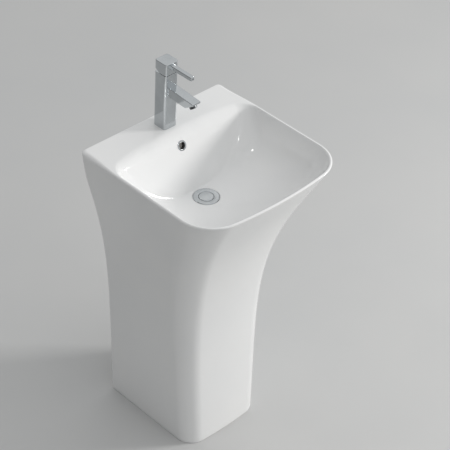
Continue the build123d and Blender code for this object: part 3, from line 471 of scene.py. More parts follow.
@dataclass(frozen=True)
class Outline:
    """A bowed, round-cornered outline, or one for each row and column of a grid."""

    half: Array
    front: Array
    rear: Array
    front_sag: Array
    rear_sag: Array
    front_corner: Array
    rear_corner: Array
    rail: Array | None = None
    side_end: Array | None = None
    corner_legs: tuple[float, float] = (0.0, 1.0)

    def trace(self, columns: Columns) -> tuple[Array, Array]:
        """Follow the right half from the middle of the front to the middle of the rear.

        The front and rear are arcs whose radius is (half^2 + sag^2) / 2 sag. Each corner is an arc that
        touches the end arc from inside and the straight side, so its centre is one corner radius in from the
        side and (arc radius - corner radius) from the arc's centre. Where side_end is given, the columns of
        the side stop at that y, and those of the rear corner take in the rest of the side, the corner's arc
        and the start of the rear.

        Args:
            columns: where the columns lie.

        Returns:
            x and y of each row and column.
        """
        t = columns.share
        front_arc = (self.half**2 + self.front_sag**2) / (2 * self.front_sag)
        front_x = self.half - self.front_corner
        front_y = self.front + front_arc - np.sqrt((front_arc - self.front_corner) ** 2 - front_x**2)
        front_turn = np.arctan2(front_x, self.front + front_arc - front_y)
        rear_arc = (self.half**2 + self.rear_sag**2) / (2 * self.rear_sag)
        rear_x = self.half - self.rear_corner
        rear_y = self.rear - rear_arc + np.sqrt((rear_arc - self.rear_corner) ** 2 - rear_x**2)
        rear_turn = np.arctan2(rear_x, rear_y - self.rear + rear_arc)
        end = rear_arc * np.sin(rear_turn)
        rail = FREE_RAIL * end if self.rail is None else self.rail
        rail_start = end if self.rail is None else (rail + end) / 2
        side_end = rear_y if self.side_end is None else self.side_end
        leave, reach = self.corner_legs
        along_front = front_turn * t
        round_front = (t - 1.0) * (pi / 2 - front_turn)
        round_rear = np.clip((t - leave) / (reach - leave), 0.0, 1.0) * (pi / 2 - rear_turn)
        side_y = front_y + (side_end - front_y) * t
        rest_y = side_end + (rear_y - side_end) * np.clip(t / max(leave, TINY), 0.0, 1.0)
        first_x = end + (rail_start - end) * np.clip((t - reach) / max(1.0 - reach, TINY), 0.0, 1.0)
        rail_x = rail_start + (rail - rail_start) * t
        middle_x = rail * (1.0 - t)
        on_side, on_rear = t < leave, t > reach
        corner_x = np.where(on_rear, first_x, rear_x + self.rear_corner * np.cos(round_rear))
        corner_y = np.where(
            on_rear,
            self.rear - rear_arc + np.sqrt(rear_arc**2 - first_x**2),
            rear_y + self.rear_corner * np.sin(round_rear),
        )
        x = [
            front_arc * np.sin(along_front),
            front_x + self.front_corner * np.cos(round_front),
            self.half,
            np.where(on_side, self.half, corner_x),
            rail_x,
            middle_x,
        ]
        y = [
            self.front + front_arc * (1.0 - np.cos(along_front)),
            front_y + self.front_corner * np.sin(round_front),
            side_y,
            np.where(on_side, rest_y, corner_y),
            self.rear - rear_arc + np.sqrt(rear_arc**2 - rail_x**2),
            self.rear - rear_arc + np.sqrt(rear_arc**2 - middle_x**2),
        ]
        chosen = [columns.within(part) for part in Stretch]
        return np.select(chosen, x), np.select(chosen, y)


@dataclass(frozen=True)
class Steps:
    """How finely the ceramic's sections, tubes and searches are divided."""

    search: int = 160
    pedestal: int = 44
    shared: int = 21
    climb: int = 6
    crest: int = 10
    lip: int = 11
    bowl: int = 64
    under: int = 26
    deck_under: int = 6
    deck: int = 14
    throat_sides: int = 48
    duct_sides: int = 40
    duct_rings: int = 28


@dataclass
class Ceramic:
    """One-piece ceramic: flared pedestal, deck, bowl, waste boss and overflow duct, hollow behind.

    Its skin is one closed grid. The columns run round the outline and the rows follow the section: down the
    waste hole, up the boss, out under the bowl, down inside the pedestal, round the foot, up the outside,
    over the rim and the deck, and down the bowl to the waste's recess.
    """

    steps: Steps = Steps()
    # Shell: half widths, depths from the wall and corners at foot and rim, and how they grow between
    deck: float = 0.850
    wall_y: float = 0.230
    foot_half: float = 0.127
    rim_half: float = 0.2352
    foot_depth: float = 0.315
    rim_depth: float = 0.4622
    side_flare: tuple[float, float, float] = (0.287, 5.72, 4.51)
    front_flare: tuple[float, float, float] = (-0.246, 5.17, 2.49)
    foot_corner: float = 0.050
    rim_corner: float = 0.098
    corner_power: float = 2.3
    front_bow: float = 1.225
    # Edges at the wall: their radius grows upwards between two drops from the deck, the second above it
    rear_edge: float = 0.0012
    rear_round: float = 0.014
    rear_round_drop: tuple[float, float] = (0.110, -0.020)
    rear_sag: float = 2e-5
    # Thickness, foot, and crest of the rim, which widens along the deck
    shell: float = 0.012
    deck_under: float = 0.836
    foot_edge: float = 0.0022
    foot_levels: tuple[float, ...] = (0.0, 0.0004, 0.0012, 0.0025)
    pedestal_start: float = 0.010
    pedestal_gap: float = 0.012
    crest: float = 0.0058
    crest_deck: float = 0.014
    crest_rear: float = 0.0025
    crest_gap: float = 0.05
    wall_lead: float = 0.08
    rim_wall: float = 0.009
    # Edge of the bowl, which rolls over further at the rear
    lip_side: float = 0.0029
    lip_drop: float = 0.0034
    roll_reach: float = 0.024
    roll_drop: float = 0.024
    roll_start: float = 0.05
    roll_corner: float = 0.65
    side_end: float = 0.085
    corner_steps: tuple[int, int, int] = (20, 30, 40)
    # Bowl, its underside and the waste's recess and boss
    drain_y: float = 0.027
    bowl_depth: float = 0.135
    bowl_fullness: float = 3.2
    floor_radius: float = 0.037
    rear_fall: float = 0.9
    deck_run: float = 0.095
    rear_bow: float = 0.017
    rear_corner: float = 0.036
    rear_corner_swell: float = 0.090
    least_sag: float = 0.0003
    corner_room: float = 0.0002
    bowl_crowding: float = 1.5
    skin_margin: float = 0.004
    meet_start: float = 0.1
    meet_room: float = 0.005
    recess_radius: float = 0.0345
    recess_edge: tuple[tuple[float, float], ...] = ((0.0008, 0.0), (0.0003, 0.0002), (0.0, 0.0007))
    recess_floor: float = 0.711
    waste_hole: float = 0.023
    boss_radius: float = 0.046
    boss_foot: float = 0.672
    # Rear opening and wall fixing holes
    opening_half: float = 0.100
    opening_spring: float = 0.680
    opening_corner: float = 0.066
    fixing_x: float = 0.140
    fixing_z: float = 0.790
    fixing_radius: float = 0.006
    fixing_margin: float = 0.004
    hole_level: float = 0.815
    # Overflow: its throat as shares of depth and radius, and its duct
    overflow_z: float = 0.819
    overflow_hole: float = 0.0118
    overflow_reach: float = 0.01
    slope_probe: float = 0.001
    throat_radius: float = 0.0094
    throat_depth: float = 0.034
    throat_depths: tuple[float, ...] = (0.0, 0.35, 0.7, 1.0, 1.0, 1.0)
    throat_radii: tuple[float, ...] = (1.0, 1.0, 1.0, 0.96, 0.5, 0.01)
    duct_radius: float = 0.015
    duct_rise: float = 0.692
    duct_start: tuple[float, float] = (0.006, 0.075)
    duct_stop: tuple[float, float] = (0.055, -0.008)

    def __post_init__(self) -> None:
        """Lay out the columns and the rounding that changes round the rim."""
        self.columns = Columns.spread(
            {
                Stretch.FRONT: 18,
                Stretch.FRONT_CORNER: 26,
                Stretch.SIDE: 30,
                Stretch.REAR_CORNER: self.corner_steps[2],
                Stretch.REAR_RAIL: 22,
                Stretch.REAR_MIDDLE: 24,
            }
        )
        share = self.columns.share
        corner = self.columns.within(Stretch.REAR_CORNER)
        rail = self.columns.within(Stretch.REAR_RAIL)
        middle = self.columns.within(Stretch.REAR_MIDDLE)
        rear = rail | middle
        leave, reach = self._corner_legs()
        widening = smooth_step(self.crest_gap, leave - self.crest_gap, share)
        towards_deck = np.where(corner, widening, 0.0) + rear
        towards_wall = np.where(corner, smooth_step(leave - self.wall_lead, reach, share), 0.0) + rear
        self.crest_in = self.crest + (self.crest_deck - self.crest) * towards_deck
        self.crest_up = self.crest_in + (self.crest_rear - self.crest_in) * towards_wall
        along_rail = self.roll_corner + (1.0 - self.roll_corner) * share
        way = np.where(corner, self.roll_corner * share, 0.0) + np.where(rail, along_rail, 0.0) + middle
        roll = smooth_step(self.roll_start, 1.0, way)
        self.lip_rear = self.lip_side + (self.roll_reach - self.lip_side) * roll
        self.lip_down = self.lip_drop + (self.roll_drop - self.lip_drop) * roll

    def _corner_legs(self) -> tuple[float, float]:
        """Shares of the rear corner's columns at which the shell's own corner starts and ends."""
        return self.corner_steps[0] / self.corner_steps[2], self.corner_steps[1] / self.corner_steps[2]

    def _grown(self, z: Array, flare: tuple[float, float, float]) -> Array:
        """Share of the way from foot to rim, lean * h + (1 - lean) * h^power * (1 + swell * (1 - h)).

        Args:
            z: heights, with h = z / deck.
            flare: lean, power and swell.

        Returns:
            The share at each height.
        """
        lean, power, swell = flare
        h = np.clip(z / self.deck, 0.0, 1.0)
        return lean * h + (1.0 - lean) * h**power * (1.0 + swell * (1.0 - h))

    def _side(self, z: Array) -> Array:
        """Outer half width at height z."""
        return self.foot_half + (self.rim_half - self.foot_half) * self._grown(z, self.side_flare)

    def _front(self, z: Array) -> Array:
        """Distance from the wall to the front at height z."""
        return self.foot_depth + (self.rim_depth - self.foot_depth) * self._grown(z, self.front_flare)

    def _corner(self, z: Array) -> Array:
        """Outer corner radius at height z, growing as a power of the height."""
        h = np.clip(z / self.deck, 0.0, 1.0)
        return self.foot_corner + (self.rim_corner - self.foot_corner) * h**self.corner_power

    def _placed(self, outline: Outline, z: Array) -> Array:
        """Points of an outline at heights z, (rows, columns, 3)."""
        x, y = outline.trace(self.columns)
        return np.stack(np.broadcast_arrays(x, y, z), axis=-1)

    def _shell_points(self, z: Array, inset: Array, inset_rear: Array) -> Array:
        """Points on the flared shell, whose edges at the wall round off along a smooth step near the deck.

        Args:
            z: heights.
            inset: how far in from the sides and front.
            inset_rear: how far in from the wall.

        Returns:
            Points, (rows, columns, 3).
        """
        half = self._side(z) - inset
        start, stop = self.rear_round_drop
        rounded = smooth_step(self.deck - start, self.deck - stop, z)
        outline = Outline(
            half=half,
            front=self.wall_y - self._front(z) + inset,
            rear=self.wall_y - inset_rear,
            front_sag=half**2 / (2 * self.front_bow),
            rear_sag=np.asarray(self.rear_sag),
            front_corner=self._corner(z) - inset,
            rear_corner=self.rear_edge + (self.rear_round - self.rear_edge) * rounded,
            rail=np.asarray(self.opening_half),
            side_end=np.asarray(self.side_end),
            corner_legs=self._corner_legs(),
        )
        return self._placed(outline, z)

    def _bowl_points(self, z: Array, skin: float, wall: float, lip: Array, lip_rear: Array) -> Array:
        """Points on the bowl, or on its underside where a skin is added.

        With depth t from 0 at the deck to 1 at the floor, the outline opens from the floor circle towards the
        shell by the share (1 - t^fullness)^0.5, and the rear slope runs back by (1 - t)^fall.

        Args:
            z: heights.
            skin: thickness added below the bowl.
            wall: thickness left to the outside.
            lip: how far the edge is rolled out at the sides and front.
            lip_rear: how far it is rolled out at the rear.

        Returns:
            Points, (rows, columns, 3).
        """
        depth = np.clip((self.deck - z) / (self.bowl_depth + skin), 0.0, 1.0)
        spread = np.sqrt(np.clip(1.0 - depth**self.bowl_fullness, 0.0, 1.0))
        floor = self.floor_radius + skin
        half = floor + (self._side(z) - wall - floor) * spread + lip
        from_wall = self.wall_y - self.drain_y
        run = (from_wall - self.deck_run - self.floor_radius) * (1.0 - depth) ** self.rear_fall
        front_corner = floor + (self._corner(z) - wall - floor) * spread + lip
        swell = self.rear_corner_swell * depth * (1.0 - depth)
        rear_corner = floor + (self.rear_corner - floor) * spread + swell + lip
        outline = Outline(
            half=half,
            front=self.drain_y - floor - (self._front(z) - wall - from_wall - floor) * spread - lip,
            rear=self.drain_y + floor + run + lip_rear,
            front_sag=self.least_sag + spread * half**2 / (2 * self.front_bow),
            rear_sag=self.least_sag + self.rear_bow * spread,
            front_corner=np.minimum(front_corner, half - self.corner_room),
            rear_corner=np.minimum(rear_corner, half - self.corner_room),
        )
        return self._placed(outline, z)

    def _ring_points(self, radii: list[float], heights: list[float]) -> Array:
        """Circles about the waste, with columns in the directions that the bowl's floor has.

        Args:
            radii: radius of each circle.
            heights: height of each circle.

        Returns:
            Points, (rows, columns, 3).
        """
        floor = self._bowl_points(np.array([[self.deck - self.bowl_depth]]), 0.0, self.rim_wall, 0.0, 0.0)
        away = floor[..., :2] - np.array([0.0, self.drain_y])
        away = away / np.linalg.norm(away, axis=-1, keepdims=True)
        flat = np.array([0.0, self.drain_y]) + np.array(radii)[:, None, None] * away
        z = np.broadcast_to(np.array(heights)[:, None, None], (*flat.shape[:2], 1))
        return np.concatenate([flat, z], axis=-1)

    def _meeting_height(self) -> Array:
        """Find where the bowl's underside comes out through the pedestal's inner wall.

        Returns:
            The height for each column.
        """
        z = np.linspace(self.deck - self.bowl_depth - self.shell, self.deck_under, self.steps.search)[:, None]
        bowl = self._bowl_points(z, self.shell, self.skin_margin, 0.0, 0.0)
        wall = self._shell_points(z, self.shell, self.shell)
        centre = np.array([0.0, self.drain_y])
        side = self.columns.within(Stretch.SIDE)
        reach = np.where(side, bowl[..., 0], np.linalg.norm(bowl[..., :2] - centre, axis=-1))
        room = np.where(side, wall[..., 0], np.linalg.norm(wall[..., :2] - centre, axis=-1))
        inside = reach < room
        met = z[len(z) - 1 - np.argmax(inside[::-1], axis=0), 0]
        corner = self.columns.within(Stretch.REAR_CORNER)
        rise = np.where(corner, smooth_step(self.meet_start, 1.0, self.columns.share), 1.0)
        beside = met[self.columns.first(Stretch.REAR_CORNER) - 1]
        behind = beside + (self.deck_under - beside) * rise
        return np.where(self.columns.stretch < Stretch.REAR_CORNER.value, met, behind)

    def _opening_height(self) -> Array:
        """Find where the shell's upper rows start: at the rear opening's rounded head or its spring line.

        Returns:
            The height for each column.
        """
        x = self.opening_half * (1.0 - self.columns.share)
        past = np.maximum(x - (self.opening_half - self.opening_corner), 0.0)
        head = self.opening_spring + np.sqrt(np.maximum(self.opening_corner**2 - past**2, 0.0))
        return np.where(self.columns.within(Stretch.REAR_MIDDLE), head, self.opening_spring)

    def _bands(self) -> dict[str, Array]:
        """Work out the rows of the right half, band by band, in the order of the section.

        Returns:
            Points of each band, (rows, columns, 3).
        """
        steps = self.steps
        meet = self._meeting_height()
        base = self._opening_height()
        level = np.minimum(self.hole_level, meet - self.meet_room)
        upright = np.linspace(self.pedestal_start, self.opening_spring - self.pedestal_gap, steps.pedestal)
        low = np.concatenate([np.array(self.foot_levels), upright])[:, None]
        rise = np.linspace(0.0, 1.0, steps.shared)[:, None]
        climb = np.linspace(0.0, 1.0, steps.climb)[1:, None]
        shared = base + (level - base) * rise
        inner_high = np.concatenate([shared, level + (meet - level) * climb])
        outer_high = np.concatenate([shared, level + (self.deck - self.crest_up - level) * climb])
        round_foot = np.clip(1.0 - low / self.foot_levels[-1], 0.0, 1.0)
        foot_in = self.foot_edge * (1.0 - np.sqrt(1.0 - round_foot**2))
        turn = np.linspace(0.0, pi / 2, steps.crest)[1:, None]
        crest_z = self.deck - self.crest_up * (1.0 - np.sin(turn))
        crest_in = self.crest_in * (1.0 - np.cos(turn))
        crest_rear = self.crest_rear * (1.0 - np.cos(turn))
        fall = np.linspace(0.0, pi / 2, steps.lip)[:-1, None]
        lip_z = self.deck - self.lip_down * (1.0 - np.cos(fall))
        lip_in = self.lip_side * (1.0 - np.sin(fall))
        lip_back = self.lip_rear * (1.0 - np.sin(fall))
        start = np.arcsin((self.lip_down / self.bowl_depth) ** (self.bowl_fullness / 2))
        swing = start + (pi / 2 - start) * np.linspace(0.0, 1.0, steps.bowl)[:, None] ** self.bowl_crowding
        bowl_z = self.deck - self.bowl_depth * np.sin(swing) ** (2 / self.bowl_fullness)
        under_depth = self.bowl_depth + self.shell
        stop = np.arcsin(((self.deck - meet) / under_depth) ** (self.bowl_fullness / 2))
        back = pi / 2 + (stop - pi / 2) * np.linspace(0.0, 1.0, steps.under)[:, None]
        under_z = self.deck - under_depth * np.sin(back) ** (2 / self.bowl_fullness)
        floor = self.deck - self.bowl_depth
        under = self._bowl_points(under_z, self.shell, self.skin_margin, 0.0, 0.0)
        inner = self._shell_points(inner_high[::-1], self.shell, self.shell)
        crest = self._shell_points(crest_z, crest_in, crest_rear)
        lip = self._bowl_points(lip_z, 0.0, self.rim_wall, lip_in, lip_back)
        return {
            "hole": self._ring_points([self.waste_hole] * 2, [self.recess_floor, self.boss_foot]),
            "boss": self._ring_points([self.boss_radius] * 2, [self.boss_foot, floor - self.shell]),
            "under": under,
            "deck_under": between(under[-1], inner[0], steps.deck_under),
            "inner_high": inner,
            "inner_low": self._shell_points(low[::-1], self.shell, self.shell),
            "outer_low": self._shell_points(low, foot_in, foot_in),
            "outer_high": self._shell_points(outer_high, 0.0, 0.0),
            "crest": crest,
            "deck": between(crest[-1], lip[0], steps.deck),
            "lip": lip,
            "bowl": self._bowl_points(bowl_z, 0.0, self.rim_wall, 0.0, 0.0),
            "drain": self._ring_points(
                [self.recess_radius + wider for wider, _ in self.recess_edge] + [self.recess_radius],
                [floor - drop for _, drop in self.recess_edge] + [self.recess_floor],
            ),
        }

    def _overflow_axis(self) -> tuple[Array, Array]:
        """Find the overflow's place on the rear slope.

        Returns:
            Its middle, and the direction straight out of the slope.
        """
        z = self.overflow_z + self.slope_probe * np.array([[-1.0], [0.0], [1.0]])
        middle = self._bowl_points(z, 0.0, self.rim_wall, 0.0, 0.0)[:, -1]
        slope = middle[2] - middle[0]
        out = np.array([0.0, -slope[2], slope[1]])
        return middle[1], out / np.linalg.norm(out)

    def _opening_edge(self, rows: dict[str, Array], numbers: Array) -> tuple[Array, Array]:
        """Point numbers along the rear opening, up one jamb, over the head and down the other.

        Args:
            rows: row numbers of each band.
            numbers: the whole grid's point numbers.

        Returns:
            The outer edge and the inner edge.
        """
        right = self.columns.first(Stretch.REAR_MIDDLE)
        left = numbers.shape[1] - right
        head = np.arange(right, left + 1)
        outer_low, inner_low = rows["outer_low"], rows["inner_low"][::-1]
        outer_head, inner_head = rows["outer_high"][0], rows["inner_high"][-1]
        outer = [numbers[outer_low, right], numbers[outer_head, head], numbers[outer_low[::-1], left]]
        inner = [numbers[inner_low, right], numbers[inner_head, head], numbers[inner_low[::-1], left]]
        return np.concatenate(outer), np.concatenate(inner)

    def _hole_block(
        self, points: Array, rows: dict[str, Array], numbers: Array, side: int
    ) -> dict[str, Array]:
        """Choose the grid cells round one wall fixing hole.

        Args:
            points: the whole grid's points, (rows, columns, 3).
            rows: row numbers of each band.
            numbers: the whole grid's point numbers.
            side: 1 for the right hole, -1 for the left.

        Returns:
            The rows and columns of the block on the outer and inner face, and the loops round it on both.
        """
        margin = self.fixing_radius + self.fixing_margin
        outer = rows["outer_high"]
        first = self.columns.first(Stretch.REAR_RAIL)
        last = self.columns.first(Stretch.REAR_MIDDLE)
        strip = points[outer[: self.steps.shared], first]
        low = int(np.flatnonzero(strip[:, 2] < self.fixing_z - margin)[-1])
        high = int(np.flatnonzero(strip[:, 2] > self.fixing_z + margin)[0])
        across = points[outer[low], first : last + 1, 0]
        start = first + int(np.flatnonzero(across > self.fixing_x + margin)[-1])
        stop = first + int(np.flatnonzero(across < self.fixing_x - margin)[0])
        if side < 0:
            start, stop = numbers.shape[1] - stop, numbers.shape[1] - start
        levels = np.concatenate(
            [
                np.full(stop - start, low),
                np.arange(low, high),
                np.full(stop - start, high),
                np.arange(high, low, -1),
            ]
        )
        places = np.concatenate(
            [
                np.arange(start, stop),
                np.full(high - low, stop),
                np.arange(stop, start, -1),
                np.full(high - low, start),
            ]
        )
        inner = rows["inner_high"][::-1]
        return {
            "outer_rows": outer[low:high],
            "inner_rows": inner[low + 1 : high + 1],
            "columns": np.arange(start, stop),
            "outer_loop": numbers[outer[levels], places],
            "inner_loop": numbers[inner[levels], places],
        }

    def _hole_circles(self, rim: Array, side: int) -> list[Array]:
        """Circles of one wall fixing hole, with a point for each point of the block that it is cut from.

        Args:
            rim: points round the block, (n, 3).
            side: 1 for the right hole, -1 for the left.

        Returns:
            The circle on the outer face and the one on the inner face, (n, 3) each.
        """
        turn = np.arctan2(rim[:, 2] - self.fixing_z, rim[:, 0] - side * self.fixing_x)
        x = side * self.fixing_x + self.fixing_radius * np.cos(turn)
        z = self.fixing_z + self.fixing_radius * np.sin(turn)
        return [np.stack([x, np.full_like(x, y), z], axis=1) for y in (self.wall_y, self.wall_y - self.shell)]

    def _overflow_cells(self, middles: Array, rows: dict[str, Array]) -> Array:
        """Tell which cells of the grid lie inside the overflow's hole.

        Args:
            middles: middle of each cell, (rows, columns, 3).
            rows: row numbers of each band.

        Returns:
            True for each cell inside, (rows, columns).
        """
        spot, out = self._overflow_axis()
        centre = middles - spot
        along = centre @ out
        away = np.linalg.norm(centre - along[..., None] * out, axis=-1)
        on_slope = np.zeros(along.shape, dtype=bool)
        on_slope[rows["bowl"]] = True
        return on_slope & (away < self.overflow_hole) & (np.abs(along) < self.overflow_reach)

    def skin(self) -> tuple[Array, Array, Array]:
        """Work out the whole ceramic skin.

        Returns:
            Points (n, 3), faces (m, 4) and the material slot of each face: 0 glazed, 1 bare.
        """
        bands = self._bands()
        counts = [len(b) for b in bands.values()]
        starts = np.concatenate([[0], np.cumsum(counts)[:-1]])
        rows = {name: np.arange(s, s + n) for name, s, n in zip(bands, starts, counts)}
        right = np.concatenate(list(bands.values()))
        left = right[:, -2:0:-1] * np.array([-1.0, 1.0, 1.0])
        points = np.concatenate([right, left], axis=1)
        numbers = np.arange(points.shape[0] * points.shape[1]).reshape(points.shape[:2])
        quads = grid_quads(numbers, True, True)
        keep = np.ones(quads.shape[:2], dtype=bool)
        bare = np.zeros(quads.shape[:2], dtype=bool)
        bare[: rows["outer_low"][0]] = True
        first = self.columns.first(Stretch.REAR_CORNER) + self.corner_steps[1]
        bare[rows["outer_low"][0] : rows["crest"][0], first : points.shape[1] - first] = True
        middle = self.columns.first(Stretch.REAR_MIDDLE)
        gap = np.arange(rows["inner_high"][-1], rows["outer_high"][0])
        keep[gap[:, None], np.arange(middle, points.shape[1] - middle)] = False
        flat = points.reshape(-1, 3)
        keep &= ~self._overflow_cells(flat[quads].mean(axis=2), rows)
        edges = np.stack(self._opening_edge(rows, numbers), axis=1)
        extra_points: list[Array] = []
        extra_quads = [grid_quads(edges, False, False).reshape(-1, 4)]
        count = numbers.size
        for side in (1, -1):
            block = self._hole_block(points, rows, numbers, side)
            keep[block["outer_rows"][:, None], block["columns"]] = False
            keep[block["inner_rows"][:, None], block["columns"]] = False
            extra_points += self._hole_circles(flat[block["outer_loop"]], side)
            near = count + np.arange(len(block["outer_loop"]))
            far = near + len(near)
            count += 2 * len(near)
            loops = np.stack([block["outer_loop"], near, far, block["inner_loop"]])
            extra_quads.append(grid_quads(loops, False, True).reshape(-1, 4))
        added = np.concatenate(extra_quads)
        faces = np.concatenate([quads[keep], added])
        slots = np.concatenate([bare[keep], np.ones(len(added), dtype=bool)])
        return np.concatenate([flat, *extra_points]), faces, slots

    def throat(self) -> tuple[Array, Array]:
        """Overflow throat: a tube set into the slope along its axis, drawn to a point at the far end,
        coloured near-black as painted shade.

        Returns:
            Points (n, 3) and faces (m, 4), facing the tube's inside.
        """
        spot, out = self._overflow_axis()
        depth = np.array(self.throat_depths)[:, None] * self.throat_depth
        radius = np.array(self.throat_radii)[:, None] * self.throat_radius
        turn = np.linspace(0.0, 2 * pi, self.steps.throat_sides, endpoint=False)
        across = np.array([1.0, 0.0, 0.0])
        along = np.cross(out, across)
        ring = radius[..., None] * (np.cos(turn)[:, None] * across + np.sin(turn)[:, None] * along)
        return tube_faces(spot - depth[..., None] * out + ring)

    def duct(self) -> tuple[Array, Array]:
        """Overflow duct behind the bowl: a round tube along a smooth curve in the middle plane.

        The curve is a cubic drawn by four handles, (1-t)^3 a + 3(1-t)^2 t b + 3(1-t) t^2 c + t^3 d, and each
        ring stands square to it.

        Returns:
            Points (n, 3) and faces (m, 4).
        """
        spot, out = self._overflow_axis()
        first = [(spot - back * out)[1:] for back in self.duct_start]
        last = [np.array([self.drain_y + self.boss_radius + away, self.duct_rise]) for away in self.duct_stop]
        handles = np.array([*first, *last])
        t = np.linspace(0.0, 1.0, self.steps.duct_rings)[:, None]
        s = 1.0 - t
        path = s**3 * handles[0] + 3 * s**2 * t * handles[1] + 3 * s * t**2 * handles[2] + t**3 * handles[3]
        heading = np.gradient(path, axis=0)
        heading = heading / np.linalg.norm(heading, axis=1, keepdims=True)
        square = np.stack([-heading[:, 1], heading[:, 0]], axis=1)
        turn = np.linspace(0.0, 2 * pi, self.steps.duct_sides, endpoint=False)
        x = np.broadcast_to(self.duct_radius * np.cos(turn), (len(path), len(turn)))
        yz = path[:, None] + self.duct_radius * np.sin(turn)[:, None] * square[:, None]
        return tube_faces(np.concatenate([x[..., None], yz], axis=-1))

    def build(self, materials: dict[str, bpy.types.Material]) -> list[bpy.types.Object]:
        """Build the ceramic's pieces, dress them and set them in the frame.

        Args:
            materials: material by finish name.

        Returns:
            The new pieces.
        """
        body = sheet_mesh("ceramic_skin", *self.skin())
        body.data.materials.append(materials[GLAZE.name])
        body.data.materials.append(materials[BISQUE.name])
        throat = sheet_mesh("overflow_throat", *self.throat())
        # The throat's near-black colour is painted shade, not the ceramic's own colour
        throat.data.materials.append(materials[THROAT_PAINTED_SHADE.name])
        duct = sheet_mesh("overflow_duct", *self.duct())
        duct.data.materials.append(materials[BISQUE.name])
        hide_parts("ceramic_basin")
        pieces = [body, throat, duct]
        for piece in pieces:
            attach(piece, "root")
            LOG.info("%s: %d faces", piece.name, len(piece.data.polygons))
        return pieces


@dataclass
class Fittings:
    """The tap, waste and trap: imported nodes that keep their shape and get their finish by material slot."""

    nodes: dict[str, bpy.types.Object]
    slots: dict[str, str]

    def dress(self, materials: dict[str, bpy.types.Material]) -> None:
        """Give the aerator's housing and insert their painted-shade finishes, and every other node its slot's
        finish.

        Args:
            materials: material by finish name.
        """
        for name, node in sorted(self.nodes.items()):
            finish = NODE_FINISHES.get(name, SLOT_FINISHES[self.slots[name]])
            node.data.materials.clear()
            node.data.materials.append(materials[finish.name])
            LOG.info("%s: %s", name, finish.name)


@dataclass
class PhotoCamera:
    """Camera at the photograph's place: bearing, height angle, roll and lens found from the photograph."""

    place: tuple[float, float, float] = (-2.38209, -2.35675, 3.26416)
    bearing: float = radians(-45.83)
    elevation: float = radians(38.03)
    roll: float = radians(3.15)
    focal_pixels: float = 1708.68
    image_pixels: float = 450.0
    sensor: float = 36.0
    clip_end: float = 60.0

    def build(self) -> bpy.types.Object:
        """Make the camera the scene's camera.

        Returns:
            The camera.
        """
        data = bpy.data.cameras.new("photo_camera")
        data.sensor_width = self.sensor
        data.lens = self.focal_pixels / self.image_pixels * self.sensor
        data.clip_end = self.clip_end
        flat = cos(self.elevation)
        back = Vector((sin(self.bearing) * flat, -cos(self.bearing) * flat, sin(self.elevation)))
        level = Vector((cos(self.bearing), sin(self.bearing), 0.0))
        upright = back.cross(level)
        right = cos(self.roll) * level + sin(self.roll) * upright
        up = cos(self.roll) * upright - sin(self.roll) * level
        camera = bpy.data.objects.new("photo_camera", data)
        camera.matrix_world = Matrix.Translation(self.place) @ Matrix((right, up, back)).transposed().to_4x4()
        bpy.context.scene.collection.objects.link(camera)
        bpy.context.scene.camera = camera
        return camera


@dataclass(frozen=True)
class Lamp:
    """A soft square lamp: where it hangs, its side and its power."""

    name: str
    heading: tuple[float, float, float]
    distance: float
    side: float
    watts: float
    target: tuple[float, float, float] = (0.0, 0.0, 0.8)
    colour: Colour = (1.0, 0.985, 0.965)

    def build(self) -> bpy.types.Object:
        """Hang the lamp along its heading from the target and point it back.

        Returns:
            The lamp.
        """
        data = bpy.data.lights.new(self.name, "AREA")
        data.shape = "SQUARE"
        data.size = self.side
        data.energy = self.watts
        data.color = self.colour
        lamp = bpy.data.objects.new(self.name, data)
        away = Vector(self.heading).normalized()
        place = Vector(self.target) + self.distance * away
        lamp.matrix_world = Matrix.Translation(place) @ away.to_track_quat("Z", "Y").to_matrix().to_4x4()
        bpy.context.scene.collection.objects.link(lamp)
        LOG.info("%s at %s", self.name, tuple(round(v, 2) for v in place))
        return lamp


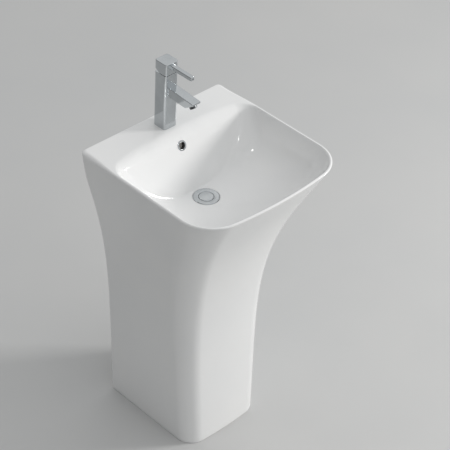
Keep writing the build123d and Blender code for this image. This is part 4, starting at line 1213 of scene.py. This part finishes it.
@dataclass
class Studio:
    """Plain pale floor, a room that is brightest above, one low soft lamp on the right and two small ones."""

    floor_size: float = 24.0
    floor_lines: int = 5
    bright_side: tuple[float, float, float] = (0.45, -0.20, 0.87)
    dim_level: float = 0.10
    bright_level: float = 0.80
    fade: tuple[float, float] = (-0.45, 0.9)
    room_colour: Colour = (0.985, 0.995, 1.0)
    lamps: tuple[Lamp, ...] = (
        Lamp("side_soft_box", (0.795, -0.531, 0.292), 4.2, 0.8, 93.0),
        Lamp("ceiling_lamp", (-0.47, 0.13, 0.87), 2.6, 0.16, 1.6),
        Lamp("front_lamp", (0.03, -0.84, 0.54), 3.0, 0.16, 1.6),
    )

    def floor(self, material: bpy.types.Material) -> bpy.types.Object:
        """Lay the floor: a flat grid at z = 0.

        Args:
            material: the floor's material.

        Returns:
            The floor.
        """
        side = np.linspace(-self.floor_size / 2, self.floor_size / 2, self.floor_lines)
        x, y = np.meshgrid(side, side)
        points = np.stack([x, y, np.zeros_like(x)], axis=-1).reshape(-1, 3)
        quads = grid_quads(np.arange(len(points)).reshape(x.shape), False, False)
        made = sheet_mesh("floor", points, quads.reshape(-1, 4))
        made.data.materials.append(material)
        return made

    def room(self) -> bpy.types.World:
        """Light the room by a world that brightens smoothly towards its bright side.

        Returns:
            The scene's world.
        """
        world = bpy.data.worlds.new("soft_room")
        world.use_nodes = True
        sheet = NodeSheet(world.node_tree)
        heading = sheet.add("ShaderNodeTexCoord")
        towards = sheet.add("ShaderNodeVectorMath", operation="DOT_PRODUCT")
        towards.inputs[1].default_value = Vector(self.bright_side).normalized()
        level = sheet.add("ShaderNodeMapRange", interpolation_type="SMOOTHSTEP")
        sheet.fix(level, From_Min=self.fade[0], From_Max=self.fade[1])
        sheet.fix(level, To_Min=self.dim_level, To_Max=self.bright_level)
        shade = sheet.fix(sheet.add("ShaderNodeBackground"), Color=(*self.room_colour, 1.0))
        output = sheet.add("ShaderNodeOutputWorld")
        sheet.join(heading, "Generated", towards, 0)
        sheet.join(towards, "Value", level, "Value")
        sheet.join(level, "Result", shade, "Strength")
        sheet.join(shade, "Background", output, "Surface")
        bpy.context.scene.world = world
        return world


def main() -> None:
    """Load the frame, build each sub-assembly in order and set the stage."""
    logging.basicConfig(level=logging.INFO, format="%(name)s %(message)s")
    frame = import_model()
    bpy.context.scene.view_settings.view_transform = "Standard"
    effects = SurfaceEffects()
    finishes = (*SLOT_FINISHES.values(), *NODE_FINISHES.values(), BISQUE, THROAT_PAINTED_SHADE, FLOOR_FINISH)
    materials = {finish.name: finish.material(effects) for finish in finishes}
    slots = {part["node"]: part["material_slot"] for part in frame["record"]["subparts"]}
    Fittings(frame["nodes"], slots).dress(materials)
    Ceramic().build(materials)
    studio = Studio()
    studio.floor(materials[FLOOR_FINISH.name])
    studio.room()
    for lamp in studio.lamps:
        lamp.build()
    PhotoCamera().build()


if __name__ == "__main__":
    main()
